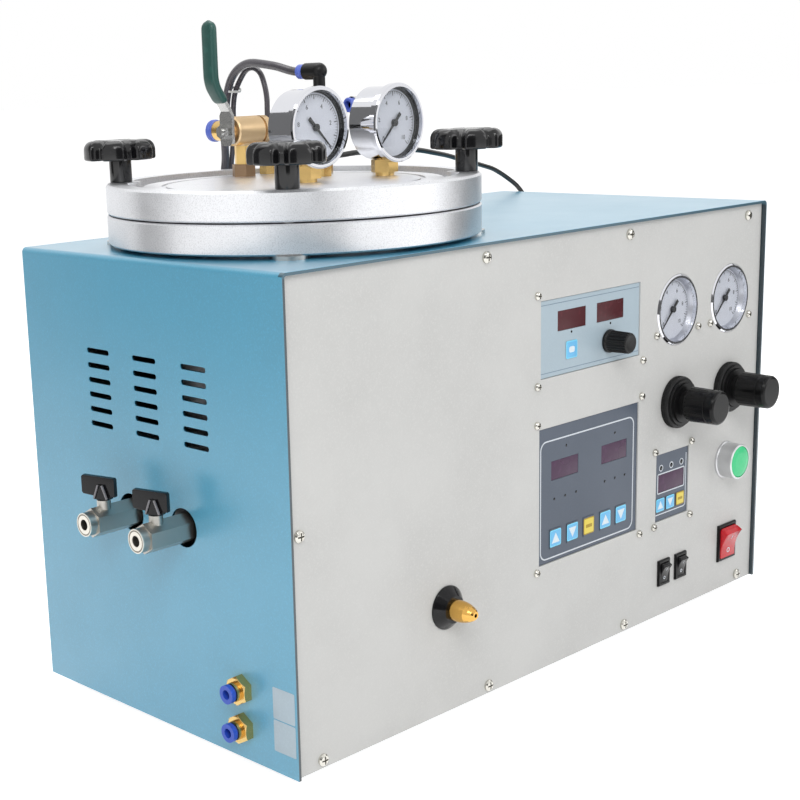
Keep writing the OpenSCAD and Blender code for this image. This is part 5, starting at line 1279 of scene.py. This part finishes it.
class INJECTOR_OT_switches(bpy.types.Operator):
    """Shape the three rockers and print their plain on and off marks"""

    bl_idname = "injector.switches"
    bl_label = "Switches"

    def execute(self, context):
        tone = context.scene.injector_colours.rocker[:]
        glow = {"Subsurface_Weight": 0.25, "Subsurface_Scale": 0.004}
        lit = moulding("Lit rocker", tone, 0.16, 1.6, 0.006, 1.2, **glow)
        dress(FINISH["black"], "switch_bezels")
        for node, x, z, reach, width in ROCKERS:
            out = (0, -math.cos(ROCKER_TILT), -math.sin(ROCKER_TILT))
            at = spot((x, PANEL_FRONT, z), out, (0, -math.sin(ROCKER_TILT), math.cos(ROCKER_TILT)))
            finish = lit if node == "power_rocker" else FINISH["gloss"]
            skin = Skin().loft(rocker_rings(reach, width, at))
            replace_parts(skin.make(node.replace("rocker", "paddle"), finish, node, 35.0, node), node)
            self.marks(node, reach, at)
        return {"FINISHED"}

    def marks(self, node, reach, at):
        """A ring below and a bar above the middle of a rocker, laid on its hollow face."""
        flat = (np.zeros(3), np.eye(3))
        a = np.linspace(0, 2 * np.pi, 28, endpoint=False)
        ring = np.stack([np.cos(a), np.sin(a)], -1) * reach
        off = reach * 0.46
        bar = rounded(reach * 0.06, reach * 0.3, reach * 0.025)
        lower = band(ring * 0.165, ring * 0.105, -0.1, 0.08, flat, (0, -off))
        upper = plate(bar, -0.1, 0.08, 0.02, flat, (0, off))
        for rings in (lower, upper):
            rings[..., 2] += rocker_face(rings[..., 1], reach)
        skin = Skin().hoop(place(lower, at)).loft(place(upper, at))
        skin.make(node + "_marks", FINISH["white_ink"], node, 30.0)


# Stage

def area_lamp(name, place_m, size, power):
    """A soft oblong lamp, turned to the point that all lamps look at."""
    data = bpy.data.lights.new(name, "AREA")
    data.shape = "RECTANGLE"
    data.size, data.size_y = size
    data.energy = power
    lamp = bpy.data.objects.new(name, data)
    z = np.array(place_m, float) - np.array(LAMP_AIM, float)
    z /= np.linalg.norm(z)
    x = np.cross((0.0, 0.0, 1.0), z)
    x /= np.linalg.norm(x)
    turn = np.eye(4)
    turn[:3, :3] = np.stack([x, np.cross(z, x), z], 1)
    turn[:3, 3] = place_m
    lamp.matrix_world = Matrix(turn.tolist())
    bpy.context.scene.collection.objects.link(lamp)


# Name, middle on the floor, way along it, width, height and grey of each card
CARDS = (
    ("left_card", (-0.92, 0.85), (0.0, 1.0), 0.8, 1.5, 0.16),
    ("front_card", (-0.91, -1.14), (0.829, -0.559), 0.9, 1.5, 0.12),
    ("right_card", (1.1, -0.25), (0.0, 1.0), 1.1, 0.5, 0.08),
)
# Name, place, size and power in watts of each lamp, and the point they all look at
LAMPS = (
    ("Key lamp", (-1.5, -1.7, 1.9), (1.6, 1.2), 36.0),
    ("Fill lamp", (1.6, -2.0, 1.2), (1.4, 1.4), 10.0),
    ("Top lamp", (0.2, 0.7, 2.3), (2.0, 1.2), 16.0),
)
LAMP_AIM = (0.0, 0.0, 0.2)
FLOOR_RADII = (0.01, 0.4, 1.0, 2.5, 6.0, 30.0)
FLOOR_GLOW = 0.66
SURROUND_LIGHT = 0.42


class INJECTOR_OT_stage(bpy.types.Operator):
    """Set the pale floor, the white surround, the soft lamps and the grey cards that mirrors show"""

    bl_idname = "injector.stage"
    bl_label = "Stage"

    def execute(self, context):
        self.floor()
        self.surround(context)
        for card in CARDS:
            self.card(*card)
        for lamp in LAMPS:
            area_lamp(*lamp)
        context.scene.view_settings.view_transform = "Standard"
        return {"FINISHED"}

    def seen(self, tree):
        """1 for the rays of the camera, mirrors and glass, and 0 for the light that falls on things."""
        path = tree.nodes.new("ShaderNodeLightPath")
        rays = calc(tree, "MAXIMUM", path.outputs["Is Camera Ray"], path.outputs["Is Glossy Ray"])
        return calc(tree, "MAXIMUM", rays, path.outputs["Is Transmission Ray"])

    def floor(self):
        """A wide flat disc under the feet: rings of growing radius at no height, white where it is seen."""
        a = np.linspace(0, 2 * np.pi, 96, endpoint=False)
        r = np.array(FLOOR_RADII)[:, None] / MM
        rings = np.stack([r * np.cos(a), r * np.sin(a), np.zeros((len(r), 96)) - 0.2], -1)
        mesh = Skin().add(rings, quads(len(r), 96)[:, ::-1])
        white = Finish("Floor", srgb(244, 244, 244), 0.9, Emission_Color=(1.0, 1.0, 1.0, 1.0))
        grain = white.group("grain", Size_mm=4.0)
        white.tint(grain.outputs["Cloud"], srgb(240, 240, 240), 0.3, 0.7)
        glow = calc(white.tree, "MULTIPLY", self.seen(white.tree), FLOOR_GLOW)
        white.tree.links.new(glow, white.shader.inputs["Emission Strength"])
        mesh.make("floor", white, None)

    def surround(self, context):
        """White where the camera, mirrors and glass look past the floor, and a gentler light elsewhere."""
        world = bpy.data.worlds.new("Surround")
        world.use_nodes = True
        tree = world.node_tree
        back = tree.nodes["Background"]
        back.inputs["Color"].default_value = (1.0, 1.0, 1.0, 1.0)
        strength = calc(tree, "MULTIPLY_ADD", self.seen(tree), 1.0 - SURROUND_LIGHT, SURROUND_LIGHT)
        tree.links.new(strength, back.inputs["Strength"])
        context.scene.world = world

    def card(self, name, middle, way, width, height, level):
        """A grey card on edge, gently bowed: a grid along its way and up, which only mirrors show."""
        u, v = np.meshgrid(np.linspace(-0.5, 0.5, 13), np.linspace(0, 1, 5))
        bow = 0.06 * width * (1 - 4 * u**2)
        x = middle[0] + width * u * way[0] - bow * way[1]
        y = middle[1] + width * u * way[1] + bow * way[0]
        i = np.arange(4)[:, None] * 13 + np.arange(12)[None, :]
        faces = np.stack([i, i + 1, i + 14, i + 13], -1).reshape(-1, 4)
        glow = {"Emission_Color": (level, level, level, 1.0), "Emission_Strength": 1.0}
        grey = Finish(name, (0.0, 0.0, 0.0, 1.0), 1.0, **glow)
        obj = Skin().add(np.stack([x, y, height * v + 0.002], -1) / MM, faces).make(name, grey, None)
        obj.visible_camera = obj.visible_diffuse = obj.visible_shadow = False
        obj.visible_transmission = obj.visible_volume_scatter = False


# Sidebar and order

ORDER = (
    INJECTOR_OT_finishes, INJECTOR_OT_camera, INJECTOR_OT_cords, INJECTOR_OT_case, INJECTOR_OT_pot,
    INJECTOR_OT_gauges, INJECTOR_OT_lid_ports, INJECTOR_OT_left_side, INJECTOR_OT_displays,
    INJECTOR_OT_controls, INJECTOR_OT_switches, INJECTOR_OT_stage,
)


class INJECTOR_PT_sidebar(bpy.types.Panel):
    """The colours, sizes and pieces of the wax injector"""

    bl_idname = "INJECTOR_PT_sidebar"
    bl_label = "Wax Injector"
    bl_space_type = "VIEW_3D"
    bl_region_type = "UI"
    bl_category = "Wax Injector"

    def draw(self, context):
        for settings in (context.scene.injector_colours, context.scene.injector_sizes):
            box = self.layout.box()
            for key in settings.__annotations__:
                box.prop(settings, key)
        for piece in ORDER:
            self.layout.operator(piece.bl_idname)


CLASSES = (InjectorColours, InjectorSizes) + ORDER + (INJECTOR_PT_sidebar,)


def register():
    for piece in CLASSES:
        bpy.utils.register_class(piece)
    bpy.types.Scene.injector_colours = bpy.props.PointerProperty(type=InjectorColours)
    bpy.types.Scene.injector_sizes = bpy.props.PointerProperty(type=InjectorSizes)


def unregister():
    del bpy.types.Scene.injector_sizes
    del bpy.types.Scene.injector_colours
    for piece in reversed(CLASSES):
        bpy.utils.unregister_class(piece)


def main():
    """Runs every step in order."""
    register()
    bpy.ops.injector.finishes()
    bpy.ops.injector.camera()
    bpy.ops.injector.cords()
    bpy.ops.injector.case()
    bpy.ops.injector.pot()
    bpy.ops.injector.gauges()
    bpy.ops.injector.lid_ports()
    bpy.ops.injector.left_side()
    bpy.ops.injector.displays()
    bpy.ops.injector.controls()
    bpy.ops.injector.switches()
    bpy.ops.injector.stage()


if __name__ == "__main__":
    main()
